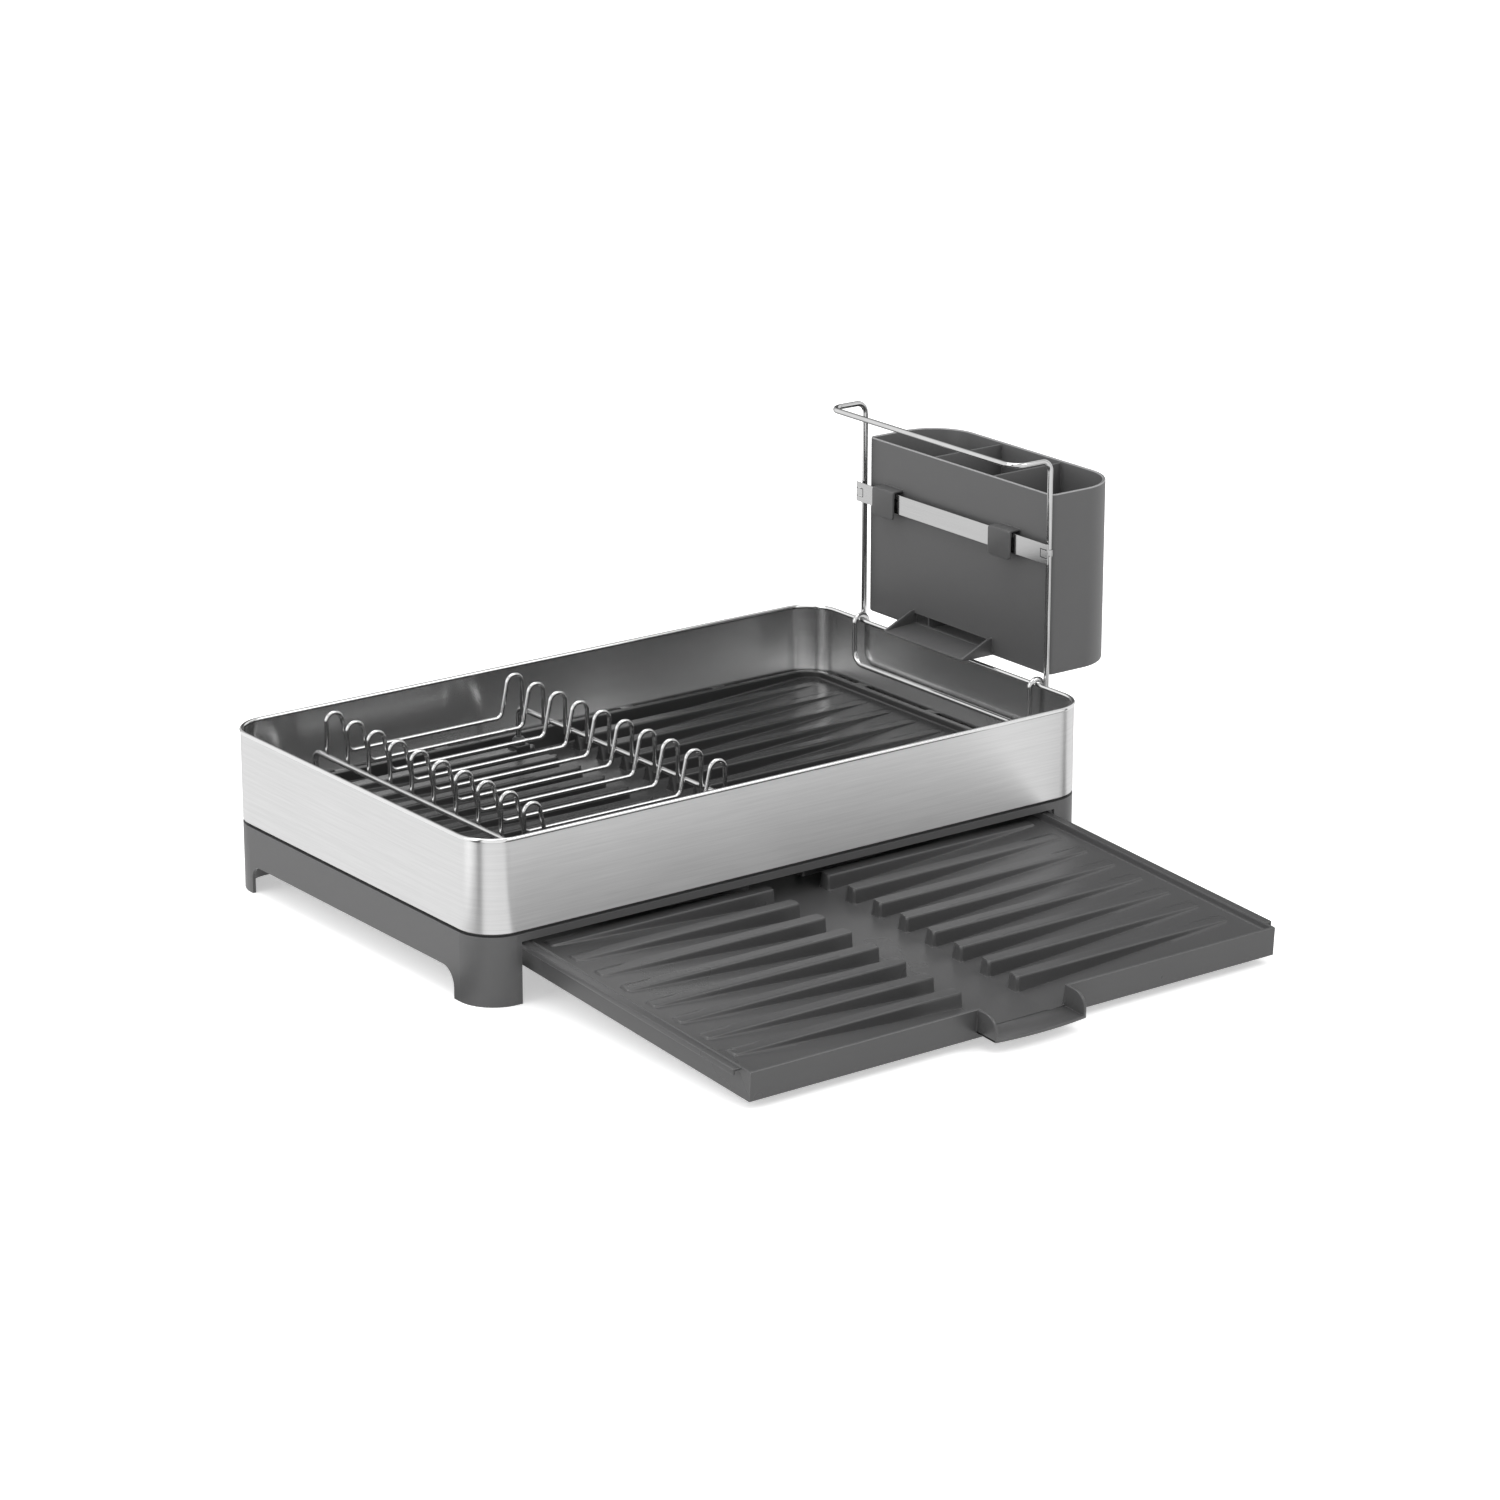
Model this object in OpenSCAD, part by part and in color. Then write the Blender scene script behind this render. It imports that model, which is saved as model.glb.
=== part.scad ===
// Dish drying rack: a steel band on a plastic base, a ribbed drain board, a pull-out drip tray,
// a lift-out plate rack and a hanger that carries a cutlery holder outside the right-hand end.
// X runs along the length, Y from front to back, Z up. The origin is the centre of the
// bounding box at the level of the surface that the rack stands on.

/* [Rack] */
// Outside length of the steel band
band_length = 510; // [500:1:520]
// Outside depth of the steel band, front to back
band_depth = 317; // [315:0.5:320]
// Outside corner radius of the band and the base
corner_r = 27; // [24:0.5:30]
// Height of the top of the rolled rim
rim_z = 115.4; // [114:0.1:118]
// Height of the lower edge of the band
band_bottom_z = 50.2; // [50:0.1:51]
// Thickness of the steel sheet
sheet_t = 0.8; // [0.6:0.1:1]
// Diameter of the rolled bead along the rim
bead_d = 3.2; // [3:0.1:3.4]

/* [Base] */
// Height of the base below the shadow gap
base_z = 48; // [47.8:0.1:48.4]
// Wall thickness of the base
base_wall = 2.5; // [2:0.1:3]
// Distance from the centre line to each side of the drawer opening
opening_x = 224.2; // [224:0.1:226]
// Height of the header's underside above the drawer opening
header_z = 42.8; // [42.5:0.1:43]
// Height of the lower edge of the end and back aprons
apron_z = 20.6; // [18:0.1:22]
// Width of the front legs along the short sides
front_leg_w = 34.2; // [33:0.1:35]
// Width of the rear legs along the short sides
rear_leg_w = 29.8; // [29:0.1:31]
// Radius of the fillet between an apron and a front leg
front_fillet_r = 13; // [11:0.5:15]
// Radius of the fillet between an apron and a rear leg
rear_fillet_r = 9; // [7:0.5:11]

/* [Drain board] */
// Height of the board's flat border
board_z = 66; // [65.6:0.1:66.4]
// Gap between the board and the band's wall, where water runs off
board_gap = 5; // [4.5:0.1:5.5]
// Height of the rib tops
rib_top_z = 62; // [61.5:0.1:62.5]
// Depth of the central channel below the rib tops
channel_drop = 11; // [10:0.5:11.5]
// Spacing of the board's ribs
board_rib_pitch = 29; // [28.5:0.1:29]
// Width of the board's ribs
board_rib_w = 10.5; // [9:0.5:12]

/* [Drip tray] */
// Length of the tray from front wall to back wall
tray_depth = 300; // [298:1:300]
// Outside width of the tray's walls
tray_width = 432.4; // [431:0.1:432.6]
// Height of the tray's walls
tray_wall_h = 20; // [19.5:0.1:20.2]
// Distance that the tray stands out in front of the base when it is pulled out
tray_out = 234.4; // [200:0.2:234.6]
// Slope of the tray towards its spout
tray_slope = 3.54; // [3.4:0.02:3.6]
// Width of the pouring spout, outside
spout_w = 75; // [70:1:80]
// Distance that the spout stands out from the front wall
spout_out = 19; // [16:0.5:22]
// Spacing of the tray's ribs
tray_rib_pitch = 28.6; // [28:0.1:29]
// Width of the tray's ribs
tray_rib_w = 10; // [9:0.5:11]

/* [Plate rack] */
// Diameter of the two cross rods
rod_d = 4; // [3.5:0.1:4.4]
// Diameter of the plate wires
plate_wire_d = 3; // [2.6:0.1:3.2]
// Distance between the two cross rods
rod_span = 169.2; // [166:0.2:171]
// Height of the cross rods' centre line
rod_z = 92; // [91:0.1:93]
// Spacing of the plate wires
plate_pitch = 27; // [26.5:0.1:27.4]
// Height of the top of the plate wires' arches
arch_top_z = 122; // [118:0.5:126]

/* [Hanger] */
// Diameter of the hanger's wires
hanger_wire_d = 4; // [3.8:0.1:4]
// Distance between the hanger's two uprights
hoop_span = 209.6; // [209:0.2:210.4]
// Height of the hoop's top rail, centre line
rail_z = 277.5; // [276:0.5:282]
// Height of the hanger's cross strip
strip_h = 14.4; // [14:0.1:15]
// Height of the centre line of the cross strip
strip_z = 210.5; // [210:0.1:210.9]

/* [Cutlery holder] */
// Outside width of the holder, front to back of the rack
holder_w = 208; // [206:0.5:208]
// Outside depth of the holder
holder_d = 69.4; // [66:0.2:72]
// Height of the holder's underside
holder_z0 = 119.4; // [119:0.1:120]
// Height of the holder's rim
holder_z1 = 251.6; // [250:0.1:253]
// Wall thickness of the holder
holder_wall = 2.2; // [1.8:0.1:2.6]

/* [Hidden] */
$fn = 64;
// Half sizes of the band, outside and inside.
hx = band_length / 2;
hy = band_depth / 2;
inner_hx = hx - sheet_t;
inner_hy = hy - sheet_t;

// Shadow gap between the base and the band.
neck_inset = 4;
shoulder_w = 3.6;
hem_w = 6;
bead_inset = 0.9;
// The collar holds the band and carries the drain board.
collar_gap = 6.7;
collar_hx = inner_hx - collar_gap;
collar_hy = inner_hy - collar_gap;
collar_wall = 2;
collar_z = board_z - 2;
deck_t = 2.4;
deck_w = 12;
cut_depth = 60;
// Runners of the drip tray.
shoe_x = 229;
runner_x0 = opening_x + 0.3;
ledge_z = 41;
ledge_t = 2.2;
shoe_h = 4.3;
shoe_clear = 0.4;
stop_y = -hy + front_leg_w;
stop_t = 2.5;
shoe_front_y = stop_y + shoe_clear;
shoe_back_y = -95.5;

// Drain board.
board_hx = inner_hx - board_gap;
board_hy = inner_hy - board_gap;
board_r = corner_r - sheet_t - board_gap;
board_t = 2;
border_w = 6;
line_w = 1.4;
line_h = 0.6;
board_ribs = 10;
rib_root = 1;
board_rib_in = 18;
board_rib_out = 238;
tab_w = 11;
tab_t = 1.6;
tab_drop = 0.8;
tab_bite = 1.1;
tab_clear = 0.1;
side_tab_y = [-69, 14, 97];
long_tab_x = [-164, -81, 81, 164];
boss_w = 12;
boss_z = 64.8;
boss_root = 4;
foot_z = boss_z + 0.2;

// Drip tray, in its own frame: x across, y back from the front wall, z up from its lower edge.
tray_t = 2;
tray_low_z = 20.8;
tray_channel_z = 5.6;
tray_edge_z = 15.8;
tray_rib_top = 16.3;
tray_channel_x = 22.4;
tray_rib_out = 203.8;
tray_rib_y0 = 37.5;
tray_rib_r = 2;
tray_ribs = 9;
flange_w = 6;
flange_t = 1.6;
flange_lip = 4;
flange_y0 = 9.8;
flange_z = 19.5;
spout_bulge = 2.5;
spout_nose_r = 11;

// Welded wires bite into each other by this much.
weld_bite = 0.02;

// Plate rack.
rack_x = -115.4;
rod_leg_y = 131.5;
rod_bend_r = 6;
rack_foot_d = 9.6;
rack_foot_h = 5;
foot_floor = 1;
foot_taper = 1.5;
foot_taper_h = 2;
plate_wires = 10;
arch_r = 6.3;
leg_offset = (rod_d + plate_wire_d) / 2 - weld_bite;
run_z = 90.6;
run_bend_r = 5;
lean = 12.6;
leg_end_z = rod_z - rod_d / 2;

// Hanger.
hoop_x = 260;
hoop_end_z = 70;
hoop_arm = 32.5;
hoop_bend_r = 8;
rail_bend_r = 10;
hook_in_x = 248.3;
hook_low_z = 82;
hook_bend_r = 10;
hook_weld_z = 98;
rest_gap = 0.3;
strip_x0 = 255.3;
strip_t = 1;
strip_half = 109;
ring_h = 6;
ring_t = 0.8;
ring_arm_w = 3;
slit_l = 7;
slit_w = 0.6;

// Cutlery holder.
holder_x0 = 262.5;
holder_front_r = 5;
holder_back_r = 37;
holder_floor_t = 2.4;
divider_t = 1.6;
divider_y = 33.3;
divider_drop = 1.5;
clip_y = [74.1, -58.9];
clip_w = 24.4;
clip_r = 2.5;
clip_x0 = 252;
clip_z0 = 198.5;
clip_z1 = 219.6;
clip_t = 1.9;
clip_block_h = 5.3;
clip_gap = 0.35;
chute_y = 4.3;
chute_w = 91;
chute_lip_x = 235;
chute_top_z = 132.3;
chute_lip_z = 121.4;
chute_wall = 2;
chute_flat = 3;
chute_nose = 0.4;
chute_floor_z = holder_z0 + holder_floor_t + 1.2;

// Cutting solids pass a surface by `over`, and joined ones overlap by `eps`.
over = 1;
eps = 0.01;
// The straights of a wire are this much thinner than its bends, and reach this far into them.
bend_step = 0.02;
bend_reach = 0.2;

// Bounding box of the whole rack, which sets the origin. The spout's lip is the foremost edge.
rim_out = bead_d / 2 - bead_inset;
lip_z = tray_low_z + tray_channel_z;
lip_y = -hy - (tray_out + spout_out + spout_bulge) * cos(tray_slope) - lip_z * sin(tray_slope);
origin_x = (holder_x0 + holder_d - hx - rim_out) / 2;
origin_y = (hy + rim_out + lip_y) / 2;

// ---------- shared shapes ----------

// Rectangle with round corners, centred.
module rounded_rect(size_x, size_y, r) {
  square([size_x - 2 * r, size_y], center = true);
  square([size_x, size_y - 2 * r], center = true);
  for (sx = [-1, 1], sy = [-1, 1])
    translate([sx * (size_x / 2 - r), sy * (size_y / 2 - r)])
      circle(r = r);
}

module rounded_plate(size_x, size_y, r, z0, z1) {
  translate([0, 0, z0])
    linear_extrude(z1 - z0)
      rounded_rect(size_x, size_y, r);
}

// Upright wall that follows a rounded rectangle. The given sizes are half the outside sizes.
module wall_ring(half_x, half_y, r, wall, z0, z1) {
  translate([0, 0, z0])
    linear_extrude(z1 - z0)
      difference() {
        rounded_rect(2 * half_x, 2 * half_y, r);
        rounded_rect(2 * (half_x - wall), 2 * (half_y - wall), r - wall);
      }
}

// Round bead that runs along a rounded rectangle.
module bead_loop(half_x, half_y, r, d) {
  for (s = [0, 180])
    rotate([0, 0, s]) {
      translate([half_x, 0, 0])
        rotate([90, 0, 0])
          cylinder(d = d, h = 2 * (half_y - r), center = true);
      translate([0, half_y, 0])
        rotate([0, 90, 0])
          cylinder(d = d, h = 2 * (half_x - r), center = true);
    }
  for (c = [[1, 1, 0], [-1, 1, 90], [-1, -1, 180], [1, -1, 270]])
    translate([c[0] * (half_x - r), c[1] * (half_y - r), 0])
      rotate([0, 0, c[2]])
        rotate_extrude(angle = 90)
          translate([r, 0])
            circle(d = d);
}

// Bent wire that starts along +Z. Each step is [straight length, bend radius, bend angle, heading]:
// after its straight length the wire bends towards the heading, an angle about its own axis.
// The straights are a hair thinner than the bends and reach a little way into them.
module bent_wire(steps, d, i = 0) {
  if (i < len(steps)) {
    step = steps[i];
    lead_in = i > 0 ? bend_reach : 0;
    lead_out = step[2] > 0 ? bend_reach : 0;
    translate([0, 0, -lead_in])
      cylinder(d = d - bend_step, h = step[0] + lead_in + lead_out);
    if (step[2] > 0)
      translate([0, 0, step[0]])
        rotate([0, 0, step[3]])
          translate([step[1], 0, 0]) {
            rotate([90, 0, 180])
              rotate_extrude(angle = step[2])
                translate([step[1], 0])
                  circle(d = d);
            rotate([0, step[2], 0])
              translate([-step[1], 0, 0])
                bent_wire(steps, d, i + 1);
          }
  }
}

// ---------- band, base and drain board ----------

module steel_band() {
  color("#c8c9ca") {
    wall_ring(hx, hy, corner_r, sheet_t, band_bottom_z, rim_z - bead_d / 2);
    translate([0, 0, rim_z - bead_d / 2])
      bead_loop(hx - bead_inset, hy - bead_inset, corner_r - bead_inset, bead_d);
    wall_ring(hx, hy, corner_r, hem_w, band_bottom_z, band_bottom_z + sheet_t);
  }
}

// Opening under an apron, with a fillet in each upper corner; it is cut through along Y.
module apron_cut(x0, x1, r0, r1) {
  low = min(apron_z - r0, apron_z - r1);
  translate([x0, 0, -over])
    cube([x1 - x0, cut_depth, low + over]);
  translate([x0 + r0, 0, -over])
    cube([x1 - x0 - r0 - r1, cut_depth, apron_z + over]);
  for (corner = [[x0, r0, 1], [x1, r1, -1]])
    translate([corner[0] + corner[2] * corner[1], 0, apron_z - corner[1]])
      rotate([-90, 0, 0])
        cylinder(r = corner[1], h = cut_depth);
  for (corner = [[x0, r0], [x1 - r1, r1]])
    translate([corner[0], 0, low - over])
      cube([corner[1], cut_depth, apron_z - corner[1] - low + over]);
}

// Ledge that carries the tray's shoe, and the stop at its front end.
module runner() {
  translate([runner_x0, stop_y - stop_t, ledge_z - ledge_t])
    cube([hx - corner_r - runner_x0 + eps, hy - stop_y + stop_t - base_wall / 2, ledge_t]);
  translate([hx - corner_r, stop_y - stop_t, ledge_z - ledge_t])
    cube([corner_r - base_wall / 2, hy - corner_r - stop_y + stop_t, ledge_t]);
  translate([runner_x0, stop_y - stop_t, ledge_z - ledge_t])
    cube([hx - base_wall / 2 - runner_x0, stop_t, base_z - ledge_z + ledge_t - deck_t / 2]);
}

module base_frame() {
  color("#6b6c6d") {
    difference() {
      wall_ring(hx, hy, corner_r, base_wall, 0, base_z);
      // Drawer opening at the front, down to the ground.
      translate([-opening_x, -hy - over, -over])
        cube([2 * opening_x, cut_depth / 2, header_z + over]);
      // Aprons at the two ends and the back.
      translate([hx - cut_depth / 2, 0, 0])
        rotate([0, 0, -90])
          mirror([1, 0, 0])
            apron_cut(-hy + front_leg_w, hy - rear_leg_w, front_fillet_r, rear_fillet_r);
      translate([-hx + cut_depth / 2, 0, 0])
        rotate([0, 0, 90])
          apron_cut(-hy + front_leg_w, hy - rear_leg_w, front_fillet_r, rear_fillet_r);
      translate([0, hy - cut_depth / 2, 0])
        apron_cut(-opening_x, opening_x, rear_fillet_r, rear_fillet_r);
    }
    // Deck that closes the base round the tray's space.
    difference() {
      rounded_plate(band_length, band_depth, corner_r, base_z - deck_t, base_z);
      translate([-runner_x0, -hy + deck_w, 0])
        cube([2 * runner_x0, 2 * (hy - deck_w), rim_z]);
    }
    // Shoulder and collar inside the band.
    wall_ring(hx - neck_inset, hy - neck_inset, corner_r - neck_inset, shoulder_w,
              base_z - eps, band_bottom_z);
    wall_ring(collar_hx, collar_hy, corner_r - sheet_t - collar_gap, collar_wall,
              base_z - eps, collar_z);
    for (s = [0, 1])
      mirror([s, 0, 0])
        runner();
  }
}

// Outline of a sloping floor seen from the front, from one edge over the channel to the other.
function floor_outline(edge_x, edge_z, flat_x, flat_z, t) = [
  [-edge_x, edge_z], [-flat_x, flat_z], [flat_x, flat_z], [edge_x, edge_z],
  [edge_x, edge_z - t], [flat_x, flat_z - t], [-flat_x, flat_z - t], [-edge_x, edge_z - t]
];

// Everything above the underside of a sloping floor, seen from the front.
function field_outline(edge_x, edge_z, flat_x, flat_z, top_z) = [
  [-edge_x, edge_z], [-flat_x, flat_z], [flat_x, flat_z], [edge_x, edge_z],
  [edge_x, top_z], [-edge_x, top_z]
];

// Half outline of a rib that stays level on top while the floor rises to meet it.
function rib_outline(x0, x1, top_z, low_z, high_z) = [
  [x0, low_z], [x1, high_z], [x1, top_z], [x0, top_z]
];

module extrude_along_y(y0, y1) {
  translate([0, y1, 0])
    rotate([90, 0, 0])
      linear_extrude(y1 - y0)
        children();
}

// One rib to the right of the channel, with rounded ends in plan.
module floor_rib(y, w, r, outline) {
  x0 = outline[0][0];
  x1 = outline[1][0];
  intersection() {
    extrude_along_y(y - w / 2, y + w / 2)
      polygon(outline);
    translate([(x0 + x1) / 2, y, outline[0][1] - over])
      linear_extrude(outline[3][1] - outline[0][1] + 2 * over)
        rounded_rect(x1 - x0, w, r);
  }
}

module drain_board() {
  field_hx = board_hx - border_w;
  field_hy = board_hy - border_w;
  field_r = board_r - border_w;
  wall_hx = field_hx + board_t;
  wall_hy = field_hy + board_t;
  channel_z = rib_top_z - channel_drop;
  rib_low = channel_z - rib_root;
  outline = rib_outline(board_rib_in, board_rib_out, rib_top_z, rib_low, rib_top_z - rib_root);
  tab_x = (board_gap - tab_clear - tab_bite) / 2;
  tab_l = board_gap - tab_clear + tab_bite;
  tab_z = board_z - tab_drop - tab_t / 2;
  color("#5f6061") {
    // Flat border with a fine raised line along its inner edge.
    wall_ring(board_hx, board_hy, board_r, border_w, board_z - board_t, board_z);
    wall_ring(field_hx + line_w, field_hy + line_w, field_r + line_w, line_w,
              board_z - eps, board_z + line_h);
    // Side walls of the sunken field, with its sloping floor.
    intersection() {
      union() {
        wall_ring(wall_hx, wall_hy, field_r + board_t, board_t, channel_z - board_t, board_z);
        extrude_along_y(-wall_hy, wall_hy)
          polygon(floor_outline(wall_hx, rib_top_z, board_rib_in, channel_z, board_t));
      }
      rounded_plate(2 * wall_hx, 2 * wall_hy, field_r + board_t, channel_z - board_t, board_z);
      extrude_along_y(-hy, hy)
        polygon(field_outline(wall_hx, rib_top_z - board_t, board_rib_in, channel_z - board_t, board_z));
    }
    for (s = [0, 1])
      mirror([s, 0, 0])
        for (k = [0.5 - board_ribs / 2 : board_ribs / 2 - 0.5])
          floor_rib(k * board_rib_pitch, board_rib_w, board_rib_w / 2 - eps, outline);
    // Bosses under the plate rack's feet.
    for (sx = [-1, 1], sy = [-1, 1])
      translate([rack_x + sx * rod_span / 2, sy * rod_leg_y, (rib_top_z - boss_root + boss_z) / 2])
        cube([boss_w, boss_w, boss_z - rib_top_z + boss_root], center = true);
    // Tabs that bridge the run-off gap.
    for (s = [-1, 1]) {
      for (y = side_tab_y)
        translate([s * (board_hx + tab_x), y, tab_z])
          cube([tab_l, tab_w, tab_t], center = true);
      for (x = long_tab_x)
        translate([x, s * (board_hy + tab_x), tab_z])
          cube([tab_w, tab_l, tab_t], center = true);
    }
  }
}

// ---------- drip tray ----------

// Side wall of the spout, in a plane of its own: level top, quarter-round nose, upright front.
module spout_side() {
  floor_z = tray_channel_z - tray_t;
  translate([-spout_out, floor_z])
    square([spout_out + tray_t, tray_wall_h - spout_nose_r - floor_z]);
  translate([-spout_out + spout_nose_r, floor_z])
    square([spout_out - spout_nose_r + tray_t, tray_wall_h - floor_z]);
  translate([-spout_out + spout_nose_r, tray_wall_h - spout_nose_r])
    circle(r = spout_nose_r);
}

module tray_spout() {
  lip_r = (pow(spout_w / 2, 2) + pow(spout_bulge, 2)) / (2 * spout_bulge);
  difference() {
    union() {
      // Floor with a bowed lip.
      translate([0, 0, tray_channel_z - tray_t])
        linear_extrude(tray_t)
          intersection() {
            translate([-spout_w / 2, -spout_out - spout_bulge])
              square([spout_w, spout_out + spout_bulge + tray_t]);
            translate([0, lip_r - spout_out - spout_bulge])
              circle(r = lip_r, $fn = 360);
          }
      for (x = [-spout_w / 2, spout_w / 2 - tray_t])
        translate([x, 0, 0])
          rotate([90, 0, 90])
            linear_extrude(tray_t)
              intersection() {
                spout_side();
                translate([-spout_out, tray_channel_z - tray_t])
                  square([spout_out + tray_t, tray_wall_h]);
              }
    }
    translate([-spout_w / 2 + tray_t, -spout_out - spout_bulge - over, tray_channel_z])
      cube([spout_w - 2 * tray_t, spout_out + spout_bulge + tray_t + 2 * over, tray_wall_h]);
  }
}

module tray_body() {
  hw = tray_width / 2;
  rib_low = tray_channel_z - rib_root;
  outline = rib_outline(tray_channel_x, tray_rib_out, tray_rib_top, rib_low, tray_edge_z - rib_root);
  difference() {
    union() {
      // Four walls.
      difference() {
        translate([-hw, 0, 0])
          cube([2 * hw, tray_depth, tray_wall_h]);
        translate([-hw + tray_t, tray_t, -over])
          cube([2 * (hw - tray_t), tray_depth - 2 * tray_t, tray_wall_h + 2 * over]);
      }
      extrude_along_y(tray_t / 2, tray_depth - tray_t / 2)
        polygon(floor_outline(hw - tray_t / 2, tray_edge_z, tray_channel_x, tray_channel_z, tray_t));
      // Side flanges with a lip turned down.
      for (s = [0, 1])
        mirror([s, 0, 0]) {
          translate([hw - tray_t, flange_y0, flange_z - flange_t])
            cube([tray_t + flange_w, tray_depth - flange_y0, flange_t]);
          translate([hw + flange_w - flange_t, flange_y0, flange_z - flange_lip])
            cube([flange_t, tray_depth - flange_y0, flange_lip]);
        }
    }
    // Mouth of the spout in the front wall.
    translate([-spout_w / 2 + tray_t, -over, tray_channel_z])
      cube([spout_w - 2 * tray_t, tray_t + 2 * over, tray_wall_h]);
  }
  for (s = [0, 1])
    mirror([s, 0, 0])
      for (k = [0 : tray_ribs - 1])
        floor_rib(tray_rib_y0 + k * tray_rib_pitch, tray_rib_w, tray_rib_r, outline);
  tray_spout();
}

module drip_tray() {
  color("#626364") {
    translate([0, -hy, 0])
      rotate([tray_slope, 0, 0])
        translate([0, -tray_out, tray_low_z])
          tray_body();
    // Level shoe on each side that rides in the base's runner.
    for (s = [0, 1])
      mirror([s, 0, 0])
        translate([tray_width / 2 - tray_t / 2, shoe_front_y, ledge_z + shoe_clear / 2])
          cube([shoe_x - tray_width / 2 + tray_t / 2, shoe_back_y - shoe_front_y, shoe_h]);
  }
}

// ---------- plate rack ----------

module cross_rod(x) {
  drop = rod_z - rod_bend_r - foot_z - foot_floor;
  run = 2 * (rod_leg_y - rod_bend_r);
  color("#b9babb")
    translate([x, -rod_leg_y, foot_z + foot_floor])
      bent_wire([
        [drop, rod_bend_r, 90, 90],
        [run, rod_bend_r, 90, 0],
        [drop, 0, 0, 0]
      ], rod_d);
}

// Plate wire in the plane of its own Y: two arches joined by a level run.
module plate_wire(i) {
  leg_x = rod_span / 2 - leg_offset;
  arch_z = arch_top_z - plate_wire_d / 2 - arch_r;
  fall = arch_z - run_z + arch_r * sin(lean);
  setback = run_bend_r * tan((90 - lean) / 2);
  slant = fall / cos(lean) - setback;
  run = 2 * (leg_x - arch_r - arch_r * cos(lean) - fall * tan(lean) - setback);
  color("#b9babb")
    translate([rack_x - leg_x, ((plate_wires + 1) / 2 - i) * plate_pitch, leg_end_z])
      bent_wire([
        [arch_z - leg_end_z, arch_r, 180 - lean, 0],
        [slant, run_bend_r, 90 - lean, 180],
        [run, run_bend_r, 90 - lean, 0],
        [slant, arch_r, 180 - lean, 180],
        [arch_z - leg_end_z, 0, 0, 0]
      ], plate_wire_d);
}

module rack_foot(sx, sy) {
  color("#3a3b3c")
    translate([rack_x + sx * rod_span / 2, sy * rod_leg_y, foot_z])
      difference() {
        union() {
          cylinder(d = rack_foot_d, h = rack_foot_h - foot_taper_h);
          translate([0, 0, rack_foot_h - foot_taper_h])
            cylinder(d1 = rack_foot_d, d2 = rack_foot_d - 2 * foot_taper, h = foot_taper_h);
        }
        translate([0, 0, foot_floor])
          cylinder(d = rod_d, h = rack_foot_h);
      }
}

// ---------- hanger and cutlery holder ----------

module hanger_hoop() {
  upright = rail_z - hoop_bend_r - hoop_end_z;
  arm = hoop_arm - hoop_bend_r - rail_bend_r;
  rail = hoop_span - 2 * rail_bend_r;
  color("#c3c4c5")
    translate([hoop_x, -hoop_span / 2, hoop_end_z])
      rotate([0, 0, 180])
        bent_wire([
          [upright, hoop_bend_r, 90, 0],
          [arm, rail_bend_r, 90, -90],
          [rail, rail_bend_r, 90, 0],
          [arm, hoop_bend_r, 90, 90],
          [upright, 0, 0, 0]
        ], hanger_wire_d);
}

module hanger_hook() {
  arch = (hoop_x - hook_in_x) / 2;
  half_y = hoop_span / 2 - hanger_wire_d + weld_bite;
  arch_z = rim_z + rest_gap + hanger_wire_d / 2 - arch;
  color("#c3c4c5")
    translate([hoop_x, -half_y, hook_weld_z])
      rotate([0, 0, 180])
        bent_wire([
          [arch_z - hook_weld_z, arch, 180, 0],
          [arch_z - hook_low_z - hook_bend_r, hook_bend_r, 90, -90],
          [2 * (half_y - hook_bend_r), hook_bend_r, 90, 0],
          [arch_z - hook_low_z - hook_bend_r, arch, 180, 90],
          [arch_z - hook_weld_z, 0, 0, 0]
        ], hanger_wire_d);
}

module hanger_strip() {
  ring_r = hanger_wire_d / 2 + ring_t;
  ring_z = strip_z - ring_h / 2 + slit_w;
  color("#bfc0c1")
    for (s = [-1, 1]) {
      difference() {
        translate([strip_x0, s < 0 ? -strip_half : 0, strip_z - strip_h / 2])
          cube([strip_t, strip_half, strip_h]);
        // A slit round three sides frees the tab that grips the upright.
        for (k = [-1, 1])
          translate([strip_x0 + strip_t / 2, s * hoop_span / 2, strip_z + k * ring_h / 2])
            cube([strip_t + 2 * over, slit_l, slit_w], center = true);
        translate([strip_x0 + strip_t / 2, s * (hoop_span - slit_l) / 2, strip_z])
          cube([strip_t + 2 * over, slit_w, ring_h + slit_w], center = true);
      }
      difference() {
        union() {
          translate([hoop_x, s * hoop_span / 2, ring_z])
            cylinder(r = ring_r, h = ring_h - 2 * slit_w);
          translate([strip_x0 + strip_t / 2, s * hoop_span / 2 - ring_arm_w / 2, ring_z])
            cube([hoop_x - strip_x0 - ring_r + ring_t, ring_arm_w, ring_h - 2 * slit_w]);
        }
        translate([hoop_x, s * hoop_span / 2, strip_z - ring_h])
          cylinder(d = hanger_wire_d, h = 2 * ring_h);
      }
    }
}

// Plan of the holder: tight corners against the hanger, wide ones outside.
module holder_plan(inset) {
  x0 = holder_x0 + inset;
  x1 = holder_x0 + holder_d - inset;
  half = holder_w / 2 - inset;
  front_r = holder_front_r - inset;
  back_r = holder_back_r - inset;
  translate([x0 + front_r, -half])
    square([x1 - x0 - front_r - back_r, 2 * half]);
  translate([x0, -half + front_r])
    square([x1 - x0 - back_r, 2 * (half - front_r)]);
  translate([x1 - back_r - over, -half + back_r])
    square([back_r + over, 2 * (half - back_r)]);
  for (s = [-1, 1]) {
    translate([x0 + front_r, s * (half - front_r)])
      circle(r = front_r);
    intersection() {
      translate([x1 - back_r, s * (half - back_r)])
        circle(r = back_r, $fn = 96);
      translate([x1 - back_r - over, -half])
        square([back_r + over, 2 * half]);
    }
  }
}

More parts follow.
